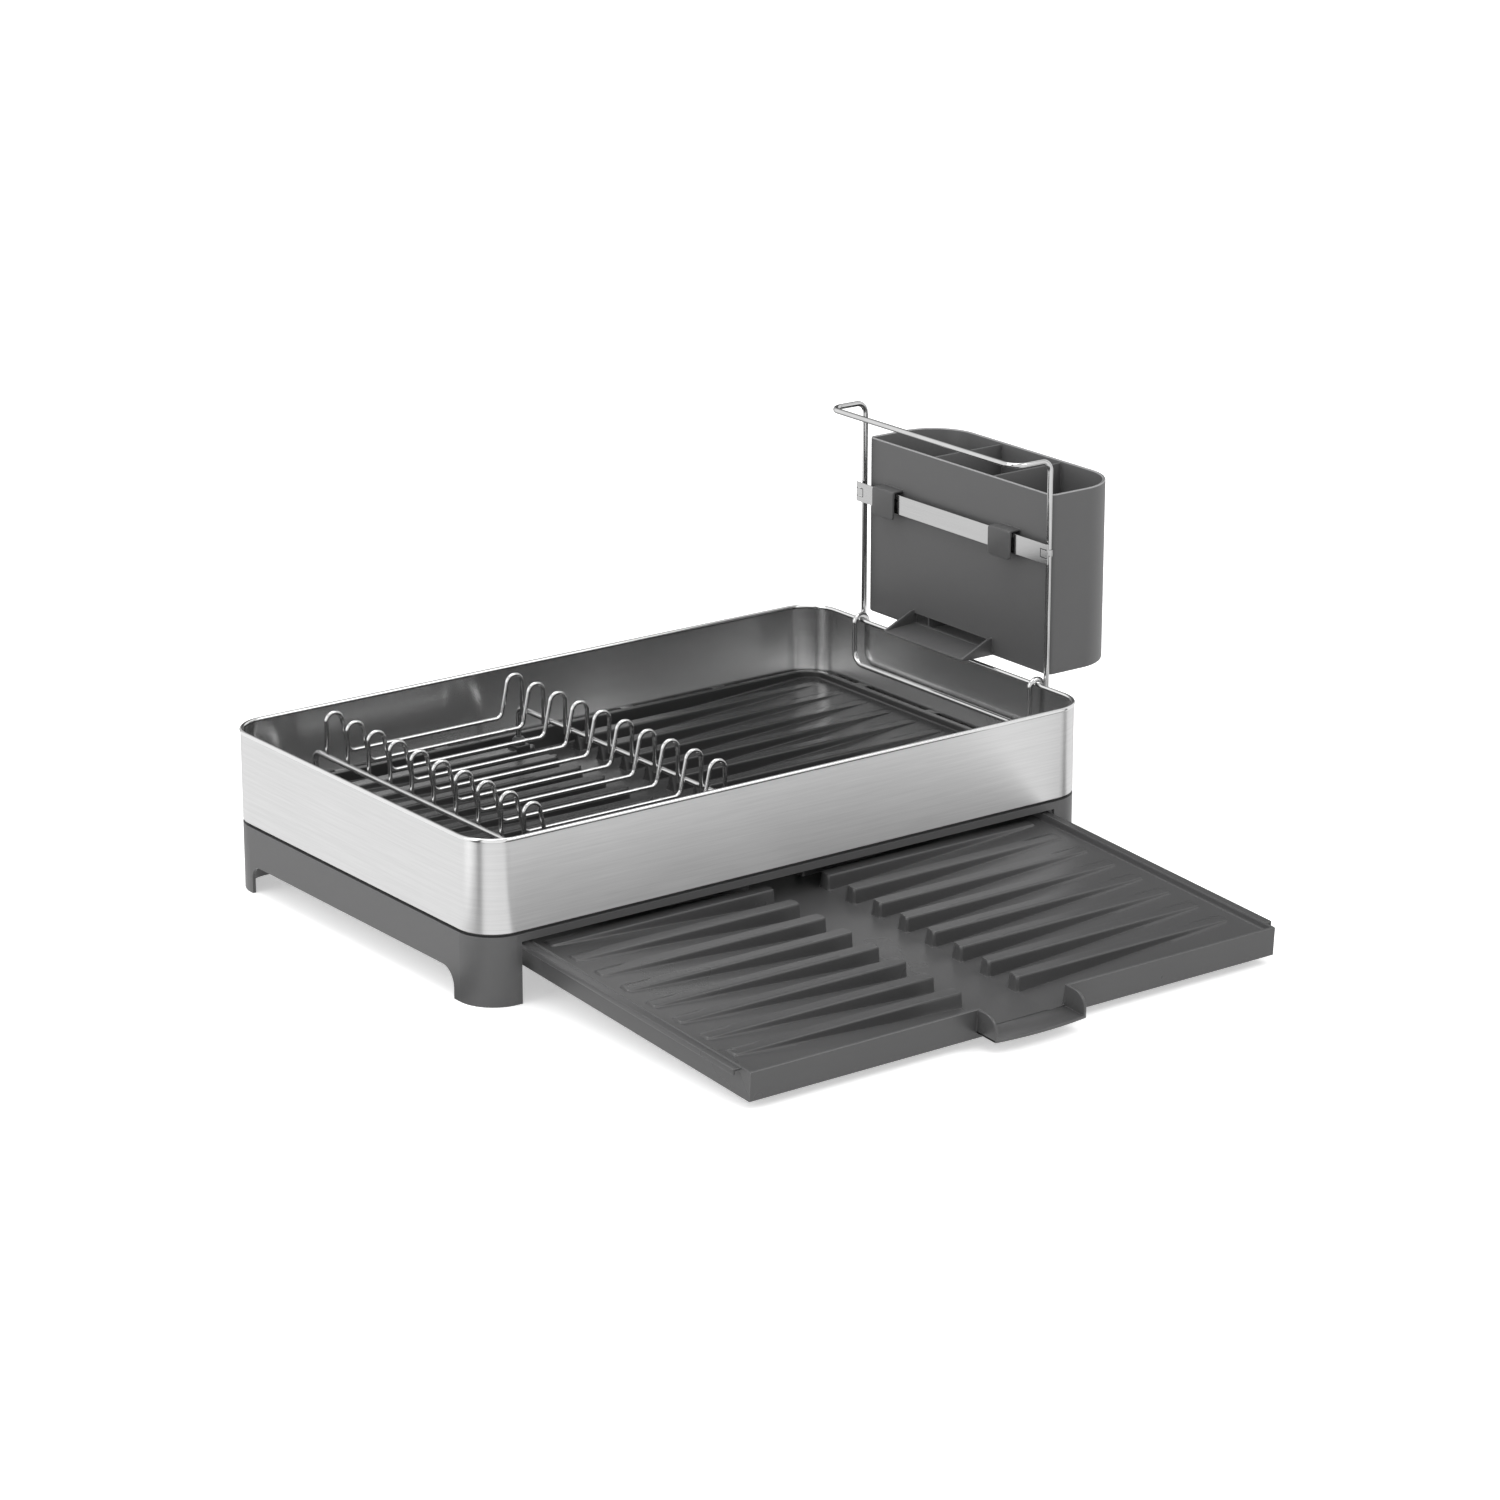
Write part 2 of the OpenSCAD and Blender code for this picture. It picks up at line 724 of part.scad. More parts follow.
// Hook over the hanger's strip: a front plate, a thicker part above and an arm over the strip.
module holder_clip(y) {
  arm_z0 = strip_z + strip_h / 2 + clip_gap;
  intersection() {
    union() {
      translate([clip_x0, y - clip_w / 2, arm_z0])
        cube([holder_x0 - clip_x0 + over, clip_w, clip_z1 - arm_z0]);
      translate([clip_x0, y - clip_w / 2, clip_z1 - clip_block_h])
        cube([strip_x0 - clip_gap - clip_x0, clip_w, clip_block_h]);
      translate([clip_x0, y - clip_w / 2, clip_z0])
        cube([clip_t, clip_w, clip_z1 - clip_z0]);
    }
    translate([clip_x0 - over, y, (clip_z0 + clip_z1) / 2])
      rotate([90, 0, 90])
        linear_extrude(holder_x0 - clip_x0 + 3 * over)
          rounded_rect(clip_w, clip_z1 - clip_z0, clip_r);
  }
}

module drain_chute() {
  y0 = chute_y - chute_w / 2;
  difference() {
    extrude_along_y(y0, y0 + chute_w)
      polygon([
        [holder_x0 + over, holder_z0], [holder_x0 + over, chute_top_z],
        [holder_x0 - chute_flat, chute_top_z], [chute_lip_x, chute_lip_z],
        [chute_lip_x, holder_z0 + chute_nose], [chute_lip_x + chute_flat, holder_z0]
      ]);
    extrude_along_y(y0 + chute_wall, y0 + chute_w - chute_wall)
      polygon([
        [holder_x0 + 2 * over, chute_floor_z], [holder_x0 + 2 * over, chute_top_z + over],
        [chute_lip_x - over, chute_top_z + over], [chute_lip_x - over, chute_lip_z - chute_nose]
      ]);
  }
}

module cutlery_holder() {
  color("#707172") {
    difference() {
      translate([0, 0, holder_z0])
        linear_extrude(holder_z1 - holder_z0)
          holder_plan(0);
      translate([0, 0, holder_z0 + holder_floor_t])
        linear_extrude(holder_z1)
          holder_plan(holder_wall);
      // Water runs out through the wall above the chute.
      translate([holder_x0 - over, chute_y - chute_w / 2 + chute_wall, chute_floor_z])
        cube([holder_wall + 2 * over, chute_w - 2 * chute_wall, chute_top_z - chute_wall - chute_floor_z]);
    }
    for (s = [-1, 1])
      translate([holder_x0 + holder_wall / 2, s * divider_y - divider_t / 2, holder_z0 + holder_floor_t / 2])
        cube([holder_d - holder_wall, divider_t, holder_z1 - holder_z0 - holder_floor_t / 2 - divider_drop]);
    for (y = clip_y)
      holder_clip(y);
    drain_chute();
  }
}

// ---------- assembly ----------

translate([-origin_x, -origin_y, 0]) {
  steel_band();
  base_frame();
  drain_board();
  drip_tray();
  cross_rod(rack_x - rod_span / 2);  // cross_rod_left
  cross_rod(rack_x + rod_span / 2);  // cross_rod_right
  plate_wire(1);  // plate_wire_01
  plate_wire(2);  // plate_wire_02
  plate_wire(3);  // plate_wire_03
  plate_wire(4);  // plate_wire_04
  plate_wire(5);  // plate_wire_05
  plate_wire(6);  // plate_wire_06
  plate_wire(7);  // plate_wire_07
  plate_wire(8);  // plate_wire_08
  plate_wire(9);  // plate_wire_09
  plate_wire(10);  // plate_wire_10
  rack_foot(-1, -1);  // rack_foot_1
  rack_foot(1, -1);  // rack_foot_2
  rack_foot(1, 1);  // rack_foot_3
  rack_foot(-1, 1);  // rack_foot_4
  hanger_hoop();
  hanger_hook();
  hanger_strip();
  cutlery_holder();
}
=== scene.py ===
# %% [markdown]
# # A dish drying rack
# The rack is a brushed steel band on a dark plastic base. Inside it lie a ribbed drain board and
# a wire plate rack. A drip tray slides out at the front, and a cutlery holder hangs from a bent
# wire at the right-hand end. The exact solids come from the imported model. This script keeps them
# where they are, gives each one its finish, and swaps the ones whose soft edges matter most for
# finer meshes of the same size.

import math

import bmesh
import bpy
from mathutils import Matrix, Vector


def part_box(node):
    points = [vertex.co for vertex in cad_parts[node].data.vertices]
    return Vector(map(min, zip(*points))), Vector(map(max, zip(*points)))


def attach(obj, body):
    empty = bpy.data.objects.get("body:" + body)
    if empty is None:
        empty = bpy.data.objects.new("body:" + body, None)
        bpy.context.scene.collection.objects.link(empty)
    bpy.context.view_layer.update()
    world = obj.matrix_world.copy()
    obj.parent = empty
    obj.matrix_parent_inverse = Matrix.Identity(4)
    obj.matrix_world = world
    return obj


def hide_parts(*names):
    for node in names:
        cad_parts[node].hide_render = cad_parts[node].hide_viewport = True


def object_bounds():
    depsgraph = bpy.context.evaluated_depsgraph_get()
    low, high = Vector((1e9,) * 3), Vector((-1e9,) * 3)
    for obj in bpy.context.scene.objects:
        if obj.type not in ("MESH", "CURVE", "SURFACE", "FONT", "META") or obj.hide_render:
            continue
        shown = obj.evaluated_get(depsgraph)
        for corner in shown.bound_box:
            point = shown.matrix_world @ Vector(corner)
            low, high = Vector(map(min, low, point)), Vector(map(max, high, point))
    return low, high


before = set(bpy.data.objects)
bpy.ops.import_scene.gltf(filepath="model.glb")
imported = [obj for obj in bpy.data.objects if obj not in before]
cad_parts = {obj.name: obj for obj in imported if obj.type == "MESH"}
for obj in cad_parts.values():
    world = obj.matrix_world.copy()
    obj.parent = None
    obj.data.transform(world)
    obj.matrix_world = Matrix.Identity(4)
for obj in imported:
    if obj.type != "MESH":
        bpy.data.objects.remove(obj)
cad_low, cad_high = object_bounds()
print("model box", [round(v, 4) for v in (*cad_low, *cad_high)])

# %% [markdown]
# ## One ruler for every piece
# The drawings of such a rack are in millimetres from the middle of the band, at the level of the
# worktop. Two small helpers turn those numbers into metres in the model's frame, so each piece
# can be written the way a maker would dimension it.

# %% Rulers and shared sizes
MM = 0.001
band_low, band_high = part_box("steel_band")
BAND_CENTRE = (band_low + band_high) / 2


def place(x, y, z):
    """Millimetres from the band's middle to metres in the model's frame."""
    return Vector((BAND_CENTRE.x + x * MM, BAND_CENTRE.y + y * MM, z * MM))


def reach(node):
    """A node's lowest and highest corner in millimetres from the band's middle."""
    corners = []
    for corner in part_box(node):
        corners.append(
            Vector(((corner.x - BAND_CENTRE.x) / MM, (corner.y - BAND_CENTRE.y) / MM, corner.z / MM))
        )
    return corners


RIM_BEAD = 3.2
RIM_INSET = 0.9
SHEET = 0.8
HEM = 6.0
CORNER = 27.0
HALF_LENGTH = reach("steel_band")[1].x - (RIM_BEAD / 2 - RIM_INSET)
HALF_DEPTH = reach("steel_band")[1].y - (RIM_BEAD / 2 - RIM_INSET)
BAND_FOOT = reach("steel_band")[0].z
BAND_TOP = reach("steel_band")[1].z
print("band half sizes", round(HALF_LENGTH, 2), round(HALF_DEPTH, 2), "from", BAND_FOOT, "to", BAND_TOP)

# %% [markdown]
# ## Camera
# A long lens from the front left, a little above the rack, keeps the edges nearly parallel. It
# aims at a point near the front wall, not at the middle of the model, because the pulled-out
# tray and the tall holder pull the composition both ways.

# %% Camera
CAMERA_AZIMUTH = math.radians(-36.62)
CAMERA_HEIGHT = math.radians(18.0)
CAMERA_DISTANCE = 3.2279
CAMERA_LENS = 114.37
camera_data = bpy.data.cameras.new("camera")
camera = bpy.data.objects.new("camera", camera_data)
bpy.context.scene.collection.objects.link(camera)
camera_back = Vector(
    (
        math.sin(CAMERA_AZIMUTH) * math.cos(CAMERA_HEIGHT),
        -math.cos(CAMERA_AZIMUTH) * math.cos(CAMERA_HEIGHT),
        math.sin(CAMERA_HEIGHT),
    )
)
camera.location = place(2.64, -100.0, 113.74) + camera_back * CAMERA_DISTANCE
camera.rotation_mode = "QUATERNION"
camera.rotation_quaternion = (-camera_back).to_track_quat("-Z", "Y")
camera_data.lens = CAMERA_LENS
camera_data.sensor_width = 36.0
camera_data.clip_end = 60.0
bpy.context.scene.camera = camera
print("camera at", [round(v, 3) for v in camera.location])

# %% [markdown]
# ## Finishes
# The rack stands in a plain studio, so the pale floor and the sky round it should come out white,
# and the greys of the rack should stay neutral. The standard view transform does that
# without bending the contrast.

# %% Colour handling
bpy.context.scene.view_settings.view_transform = "Standard"
bpy.context.scene.view_settings.look = "None"
print("view transform", bpy.context.scene.view_settings.view_transform)

# %% [markdown]
# ### Node helpers
# A finish is a small graph. The helpers below keep each one short: one adds a node, one links
# two sockets, and one wraps a noise texture with its scale along each axis.


# %% Node helpers
def node(tree, kind, **settings):
    """A new node of that kind, with its properties or unlinked inputs set by name."""
    made = tree.nodes.new(kind)
    for key, value in settings.items():
        if hasattr(made, key):
            setattr(made, key, value)
        else:
            made.inputs[key.replace("_", " ")].default_value = value
    return made


def link(tree, source, target):
    tree.links.new(source, target)


def stretched_noise(tree, vector, stretch, scale, detail=3.0):
    """Noise whose grain is drawn out by the three stretch factors."""
    mapping = node(tree, "ShaderNodeMapping", Scale=stretch)
    noise = node(tree, "ShaderNodeTexNoise", Scale=scale, Detail=detail)
    link(tree, vector, mapping.inputs["Vector"])
    link(tree, mapping.outputs["Vector"], noise.inputs["Vector"])
    return noise.outputs["Fac"]


def spread(tree, value, low, high):
    """A 0 to 1 value moved to the range low to high."""
    ramp = node(tree, "ShaderNodeMapRange", To_Min=low, To_Max=high)
    link(tree, value, ramp.inputs["Value"])
    return ramp.outputs["Result"]


def new_group(name, inputs, outputs):
    """An empty shader node group with float, colour or vector sockets."""
    group = bpy.data.node_groups.new(name, "ShaderNodeTree")
    kinds = {"float": "NodeSocketFloat", "colour": "NodeSocketColor", "vector": "NodeSocketVector"}
    for socket, kind, value in inputs:
        made = group.interface.new_socket(socket, in_out="INPUT", socket_type=kinds[kind])
        if value is not None:
            made.default_value = value
    for socket, kind in outputs:
        group.interface.new_socket(socket, in_out="OUTPUT", socket_type=kinds[kind])
    return group, group.nodes.new("NodeGroupInput"), group.nodes.new("NodeGroupOutput")


def use_group(tree, group, **values):
    """The group placed in a material, with its own values."""
    made = tree.nodes.new("ShaderNodeGroup")
    made.node_tree = group
    for key, value in values.items():
        made.inputs[key.replace("_", " ")].default_value = value
    return made


def mix_colours(tree, factor, first, second):
    """A colour between two, each either fixed or read from a socket."""
    mix = node(tree, "ShaderNodeMix", data_type="RGBA")
    for colour, slot in ((first, mix.inputs[6]), (second, mix.inputs[7])):
        if isinstance(colour, tuple):
            slot.default_value = (*colour, 1)
        else:
            link(tree, colour, slot)
    link(tree, factor, mix.inputs[0])
    return mix.outputs[2]


print("node helpers ready")

# %% [markdown]
# ### Brushing
# Steel sheet gets its grain from an abrasive belt that runs one way. The scratches are tens of
# millimetres long and a few hundredths wide. Two layers of drawn-out noise give them: fine
# scratches and broader streaks. The group takes the direction as stretch factors, so the band
# and the small strip share it. It puts out a height for the bump, a streak mask and nothing else.

# %% Brushed grain group
brushed, brushed_in, brushed_out = new_group(
    "BrushedGrain",
    [("Vector", "vector", None), ("Stretch", "vector", (1, 1, 1)), ("Streaks", "float", 0.5)],
    [("Height", "float"), ("Mask", "float")],
)
drawn = node(brushed, "ShaderNodeVectorMath", operation="MULTIPLY")
link(brushed, brushed_in.outputs["Vector"], drawn.inputs[0])
link(brushed, brushed_in.outputs["Stretch"], drawn.inputs[1])
fine = stretched_noise(brushed, drawn.outputs[0], (1, 1, 1), 1.0, 6.0)
broad = stretched_noise(brushed, drawn.outputs[0], (0.35, 0.22, 0.22), 1.0, 2.0)
blend = node(brushed, "ShaderNodeMix", data_type="FLOAT")
link(brushed, brushed_in.outputs["Streaks"], blend.inputs[0])
link(brushed, fine, blend.inputs[2])
link(brushed, broad, blend.inputs[3])
link(brushed, fine, brushed_out.inputs["Height"])
link(brushed, blend.outputs[0], brushed_out.inputs["Mask"])
print("group", brushed.name)

# %% [markdown]
# ### Moulded plastic
# The tool that moulds these parts is spark-eroded, which leaves a fine even tooth on the plastic.
# Edges get a painted highlight: their colour is lightened where a rounded edge would catch the
# light. One group gives the tooth and slow clouds of shine, and another finds the edges by
# comparing the true normal with a rounded one.

# %% Moulded tooth group
tooth, tooth_in, tooth_out = new_group(
    "MouldedTooth",
    [("Vector", "vector", None), ("Grain", "float", 2600.0), ("Clouds", "float", 14.0)],
    [("Height", "float"), ("Cloud", "float")],
)
tooth_noise = node(tooth, "ShaderNodeTexNoise", Detail=2.0)
link(tooth, tooth_in.outputs["Vector"], tooth_noise.inputs["Vector"])
link(tooth, tooth_in.outputs["Grain"], tooth_noise.inputs["Scale"])
cloud_noise = node(tooth, "ShaderNodeTexNoise", Detail=3.0)
link(tooth, tooth_in.outputs["Vector"], cloud_noise.inputs["Vector"])
link(tooth, tooth_in.outputs["Clouds"], cloud_noise.inputs["Scale"])
link(tooth, tooth_noise.outputs["Fac"], tooth_out.inputs["Height"])
link(tooth, cloud_noise.outputs["Fac"], tooth_out.inputs["Cloud"])
print("group", tooth.name)

# %% Painted edge highlight group
# The edges found here are lightened in colour: a painted highlight, not wear.
edge_highlight_group, edge_highlight_in, edge_highlight_out = new_group(
    "PaintedEdgeHighlight", [("Radius", "float", 0.0012), ("Strength", "float", 1.0)], [("Mask", "float")]
)
round_normal = node(edge_highlight_group, "ShaderNodeBevel", samples=8)
link(edge_highlight_group, edge_highlight_in.outputs["Radius"], round_normal.inputs["Radius"])
true_normal = node(edge_highlight_group, "ShaderNodeNewGeometry")
facing = node(edge_highlight_group, "ShaderNodeVectorMath", operation="DOT_PRODUCT")
link(edge_highlight_group, round_normal.outputs["Normal"], facing.inputs[0])
link(edge_highlight_group, true_normal.outputs["Normal"], facing.inputs[1])
edge = node(edge_highlight_group, "ShaderNodeMapRange", From_Min=0.995, From_Max=0.80)
link(edge_highlight_group, facing.outputs["Value"], edge.inputs["Value"])
scaled = node(edge_highlight_group, "ShaderNodeMath", operation="MULTIPLY")
link(edge_highlight_group, edge.outputs["Result"], scaled.inputs[0])
link(edge_highlight_group, edge_highlight_in.outputs["Strength"], scaled.inputs[1])
link(edge_highlight_group, scaled.outputs["Value"], edge_highlight_out.inputs["Mask"])
print("group", edge_highlight_group.name)

# %% [markdown]
# ### The finishes themselves
# Steel: the band carries UV coordinates that run along its perimeter and up its height, so the
# grain follows the sheet round the corners, and the highlight is drawn out upright, across the
# grain. The inside of the band is smoother than the outside, and its base colour is darker: painted
# shade inside the band. The rolled bead is polished.
# Plastic: close greys, one for each moulding, because each catches the light differently. The
# holder's rim gets a lighter copy of its grey, a painted highlight.


# %% Material helpers
def new_material(name, **shader):
    """A material with a Principled shader, and its node tree."""
    material = bpy.data.materials.new(name)
    material.use_nodes = True
    tree = material.node_tree
    principled = tree.nodes["Principled BSDF"]
    for key, value in shader.items():
        principled.inputs[key.replace("_", " ")].default_value = value
    return material, tree, principled


def add_bump(tree, principled, height, distance, strength):
    bump = node(tree, "ShaderNodeBump", Strength=strength, Distance=distance)
    link(tree, height, bump.inputs["Height"])
    link(tree, bump.outputs["Normal"], principled.inputs["Normal"])


def grey(level):
    """A neutral colour, a touch cool, from one linear level."""
    return (level, level, level * 1.01)


def plastic(name, dark, light, rough_low, rough_high, edge_highlight):
    """Matt moulded plastic: two close greys, a fine tooth and edges lightened as a painted highlight."""
    material, tree, principled = new_material(name, Specular_IOR_Level=0.5)
    where = node(tree, "ShaderNodeTexCoord")
    surface = use_group(tree, tooth, Grain=2600.0, Clouds=14.0)
    link(tree, where.outputs["Object"], surface.inputs["Vector"])
    edges = use_group(tree, edge_highlight_group, Radius=0.0011, Strength=0.5)
    body = mix_colours(tree, surface.outputs["Cloud"], grey(dark), grey(light))
    # Edges are mixed towards a lighter grey: a painted highlight where rounded edges catch the light.
    painted_highlight = mix_colours(tree, edges.outputs["Mask"], body, grey(edge_highlight))
    link(tree, painted_highlight, principled.inputs["Base Color"])
    shine = spread(tree, surface.outputs["Cloud"], rough_low, rough_high)
    link(tree, shine, principled.inputs["Roughness"])
    add_bump(tree, principled, surface.outputs["Height"], 0.00006, 0.5)
    return material


print("material helpers ready")


# %% Brushed steel
def steel(name, coordinate, stretch, low, high, rough_low, rough_high, anisotropy, bump=0.15):
    """Brushed steel; the coordinate and its stretch set the way the grain runs."""
    material, tree, principled = new_material(name, Metallic=1.0, Anisotropic=anisotropy)
    where = node(tree, "ShaderNodeTexCoord")
    grain = use_group(tree, brushed, Stretch=stretch, Streaks=0.5)
    link(tree, where.outputs[coordinate], grain.inputs["Vector"])
    mask = grain.outputs["Mask"]
    link(tree, mix_colours(tree, mask, (low,) * 3, (high,) * 3), principled.inputs["Base Color"])
    link(tree, spread(tree, mask, rough_low, rough_high), principled.inputs["Roughness"])
    add_bump(tree, principled, grain.outputs["Height"], 0.00002, bump)
    if coordinate == "UV":
        tangent = node(tree, "ShaderNodeTangent", direction_type="UV_MAP")
        link(tree, tangent.outputs["Tangent"], principled.inputs["Tangent"])
        principled.inputs["Anisotropic Rotation"].default_value = 0.25
    return material


band_steel = steel("band_steel", "UV", (34, 2000, 1), 0.60, 0.86, 0.38, 0.48, 0.95, 0.1)
# The inside of the same sheet has a darker base colour than the outside: painted shade inside the band; its
# lower roughness is real.
inner_steel_shaded = steel("inner_steel_shaded", "UV", (24, 1400, 1), 0.56, 0.66, 0.19, 0.24, 0.6, 0.02)
rim_steel = steel("rim_steel", "UV", (20, 400, 1), 0.66, 0.80, 0.08, 0.14, 0.0)
strip_steel = steel("strip_steel", "Object", (2000, 60, 2600), 0.44, 0.52, 0.12, 0.18, 0.0, 0.04)
print("steel finishes", band_steel.name, strip_steel.name)

# %% [markdown]
# ### Bright wire
# The wires are drawn steel, plated and polished. They are nearly a mirror, so the finish is only a
# slow cloud of shine and a tooth too fine to see singly, and the studio gives the rest.

# %% Bright wire
wire_chrome, wire_tree, wire_shader = new_material("wire_chrome", Metallic=1.0)
wire_where = node(wire_tree, "ShaderNodeTexCoord")
wire_cloud = stretched_noise(wire_tree, wire_where.outputs["Object"], (1, 1, 1), 60.0)
wire_colour = mix_colours(wire_tree, wire_cloud, (0.52,) * 3, (0.66,) * 3)
link(wire_tree, wire_colour, wire_shader.inputs["Base Color"])
link(wire_tree, spread(wire_tree, wire_cloud, 0.05, 0.12), wire_shader.inputs["Roughness"])
wire_tooth = stretched_noise(wire_tree, wire_where.outputs["Object"], (1, 1, 1), 1800.0)
add_bump(wire_tree, wire_shader, wire_tooth, 0.00001, 0.2)
print("wire finish", wire_chrome.name)

# %% Plastics
base_plastic = plastic("base_plastic", 0.074, 0.086, 0.36, 0.46, 0.15)
board_plastic = plastic("board_plastic", 0.026, 0.034, 0.20, 0.30, 0.10)
tray_plastic = plastic("tray_plastic", 0.058, 0.068, 0.24, 0.34, 0.14)
holder_plastic = plastic("holder_plastic", 0.076, 0.088, 0.38, 0.48, 0.17)
# A much lighter copy of the holder's grey for the rounded top edges of its wall: a painted highlight.
holder_rim_painted_highlight = plastic("holder_rim_painted_highlight", 0.24, 0.28, 0.30, 0.40, 0.30)
cap_plastic = plastic("cap_plastic", 0.03, 0.04, 0.40, 0.50, 0.07)
print("plastics", base_plastic.name, board_plastic.name, tray_plastic.name, holder_plastic.name)

# %% [markdown]
# ## Mesh tools
# Most of the rack is one of two shapes: a section carried along a closed outline, such as the
# band, or a round wire bent in steps. Each gets one function. Sections and outlines are plain
# lists of points in millimetres, and every vertex is a formula, so the soft edges are real
# geometry that also shows in profile.


# %% Piece maker
def add_piece(name, verts, faces, material, body, stands_for, uvs=None):
    """A smooth-shaded mesh from millimetre points, riding on its body in place of its node."""
    mesh = bpy.data.meshes.new(name)
    mesh.from_pydata([place(*v) for v in verts], [], faces)
    if uvs:
        layer = mesh.uv_layers.new(name="UVMap")
        for polygon, corners in zip(mesh.polygons, uvs):
            for loop, uv in zip(polygon.loop_indices, corners):
                layer.data[loop].uv = uv
    mesh.shade_smooth()
    mesh.set_sharp_from_angle(angle=math.radians(45))
    mesh.materials.append(material)
    piece = bpy.data.objects.new(name, mesh)
    bpy.context.scene.collection.objects.link(piece)
    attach(piece, body)
    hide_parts(*stands_for)
    print(name, len(verts), "points", len(faces), "faces")
    return piece


# %% Outlines and sections
def arc(cx, cy, radius, start, end, steps):
    """Points on an arc, in degrees, both ends included."""
    points = []
    for k in range(steps + 1):
        angle = math.radians(start + (end - start) * k / steps)
        points.append((cx + radius * math.cos(angle), cy + radius * math.sin(angle)))
    return points


def rounded_outline(half_x, half_y, radius, steps=16, spacing=12.0):
    """Points round a rectangle with round corners: (x, y, outward x, outward y, distance)."""
    corners = [(1, -1, -90), (1, 1, 0), (-1, 1, 90), (-1, -1, 180)]
    points = []
    for sign_x, sign_y, start in corners:
        cx = sign_x * (half_x - radius)
        cy = sign_y * (half_y - radius)
        for k in range(steps + 1):
            angle = math.radians(start + 90 * k / steps)
            out = (math.cos(angle), math.sin(angle))
            points.append((cx + radius * out[0], cy + radius * out[1], *out))
    outline = []
    distance = 0.0
    for k, point in enumerate(points):
        following = points[(k + 1) % len(points)]
        gap = math.dist(point[:2], following[:2])
        parts = max(1, round(gap / spacing))
        for part in range(parts):
            share = part / parts
            x = point[0] + (following[0] - point[0]) * share
            y = point[1] + (following[1] - point[1]) * share
            outline.append((x, y, point[2], point[3], distance + gap * share))
        distance += gap
    return outline, distance


def carry_section(outline, length, section):
    """A section carried round a closed outline, with its UVs.

    The section is a function of x that returns (inset, height) points."""
    cuts = [section(point[0]) for point in outline]
    count, rows = len(outline), len(cuts[0])
    verts = []
    for (x, y, nx, ny, _), cut in zip(outline, cuts):
        verts += [(x - nx * inset, y - ny * inset, z) for inset, z in cut]
    faces, uvs = [], []
    for i in range(count):
        after = (i + 1) % count
        u0 = outline[i][4] * MM
        u1 = (outline[after][4] if after else length) * MM
        for j in range(rows):
            above = (j + 1) % rows
            faces.append((i * rows + j, after * rows + j, after * rows + above, i * rows + above))
            v0, v1 = cuts[i][j][1] * MM, cuts[i][above][1] * MM
            uvs.append(((u0, v0), (u1, v0), (u1, v1), (u0, v1)))
    return verts, faces, uvs


print("outline tools ready")

# %% [markdown]
# ## Steel band
# The sheet is bent round, its ends are welded, and its upper edge is rolled over into a bead that
# is safe to touch. The lower edge turns in to sit on the base. One section holds all of that, and
# it is carried round the outline so that the bead stays round in the corners.

# %% Band
bead_r = RIM_BEAD / 2
bead_z = BAND_TOP - bead_r
outer_meet = 180 + math.degrees(math.asin(math.sqrt(bead_r**2 - RIM_INSET**2) / bead_r))
inner_meet = -90 - math.degrees(math.asin((RIM_INSET - SHEET) / bead_r))
bead = [(RIM_INSET + dx, z) for dx, z in arc(0, bead_z, bead_r, outer_meet, inner_meet, 20)]
band_section = [
    (0.5, BAND_FOOT),
    (0.15, BAND_FOOT + 0.12),
    (0.0, BAND_FOOT + 0.5),
    *bead,
    (SHEET, BAND_FOOT + SHEET + 0.6),
    (SHEET + 0.2, BAND_FOOT + SHEET + 0.2),
    (SHEET + 0.6, BAND_FOOT + SHEET),
    (HEM, BAND_FOOT + SHEET),
    (HEM, BAND_FOOT),
]
band_outline, band_length = rounded_outline(HALF_LENGTH, HALF_DEPTH, CORNER)
band_verts, band_faces, band_uvs = carry_section(band_outline, band_length, lambda x: band_section)
band = add_piece("band", band_verts, band_faces, band_steel, "rack", ["steel_band"], band_uvs)
# The bead takes the polished steel; the inner face takes the darker steel, painted shade inside the band.
band.data.materials.append(rim_steel)
band.data.materials.append(inner_steel_shaded)
for polygon in band.data.polygons:
    row = polygon.index % len(band_section)
    if row >= 3:
        polygon.material_index = 1 if row < 3 + len(bead) - 1 else 2

# %% [markdown]
# ## Bent wires
# A wire bender works in steps: feed a length, bend round a die, turn the wire about its own axis,
# and repeat. The function below does the same and returns the centre line. A ring of points is
# then carried along it without twisting, so the highlight runs cleanly round each bend.


# %% Wire tools
def bend(start, ahead, towards, steps):
    """Centre line of a wire that starts along `ahead`; `towards` is heading 0.

    Each step is (length, bend radius, bend angle, heading), in millimetres and degrees."""
    ahead, towards = Vector(ahead), Vector(towards)
    here = Vector(start)
    line = [here.copy()]
    for length, radius, angle, heading in steps:
        here = here + ahead * length
        line.append(here.copy())
        if angle:
            towards = Matrix.Rotation(math.radians(heading), 3, ahead) @ towards
            centre = here + towards * radius
            axis = ahead.cross(towards)
            count = max(4, round(angle / 7.5))
            spoke = here - centre
            for k in range(1, count + 1):
                turned = Matrix.Rotation(math.radians(angle * k / count), 3, axis) @ spoke
                line.append(centre + turned)
            turn = Matrix.Rotation(math.radians(angle), 3, axis)
            here, ahead, towards = line[-1].copy(), turn @ ahead, turn @ towards
    return line


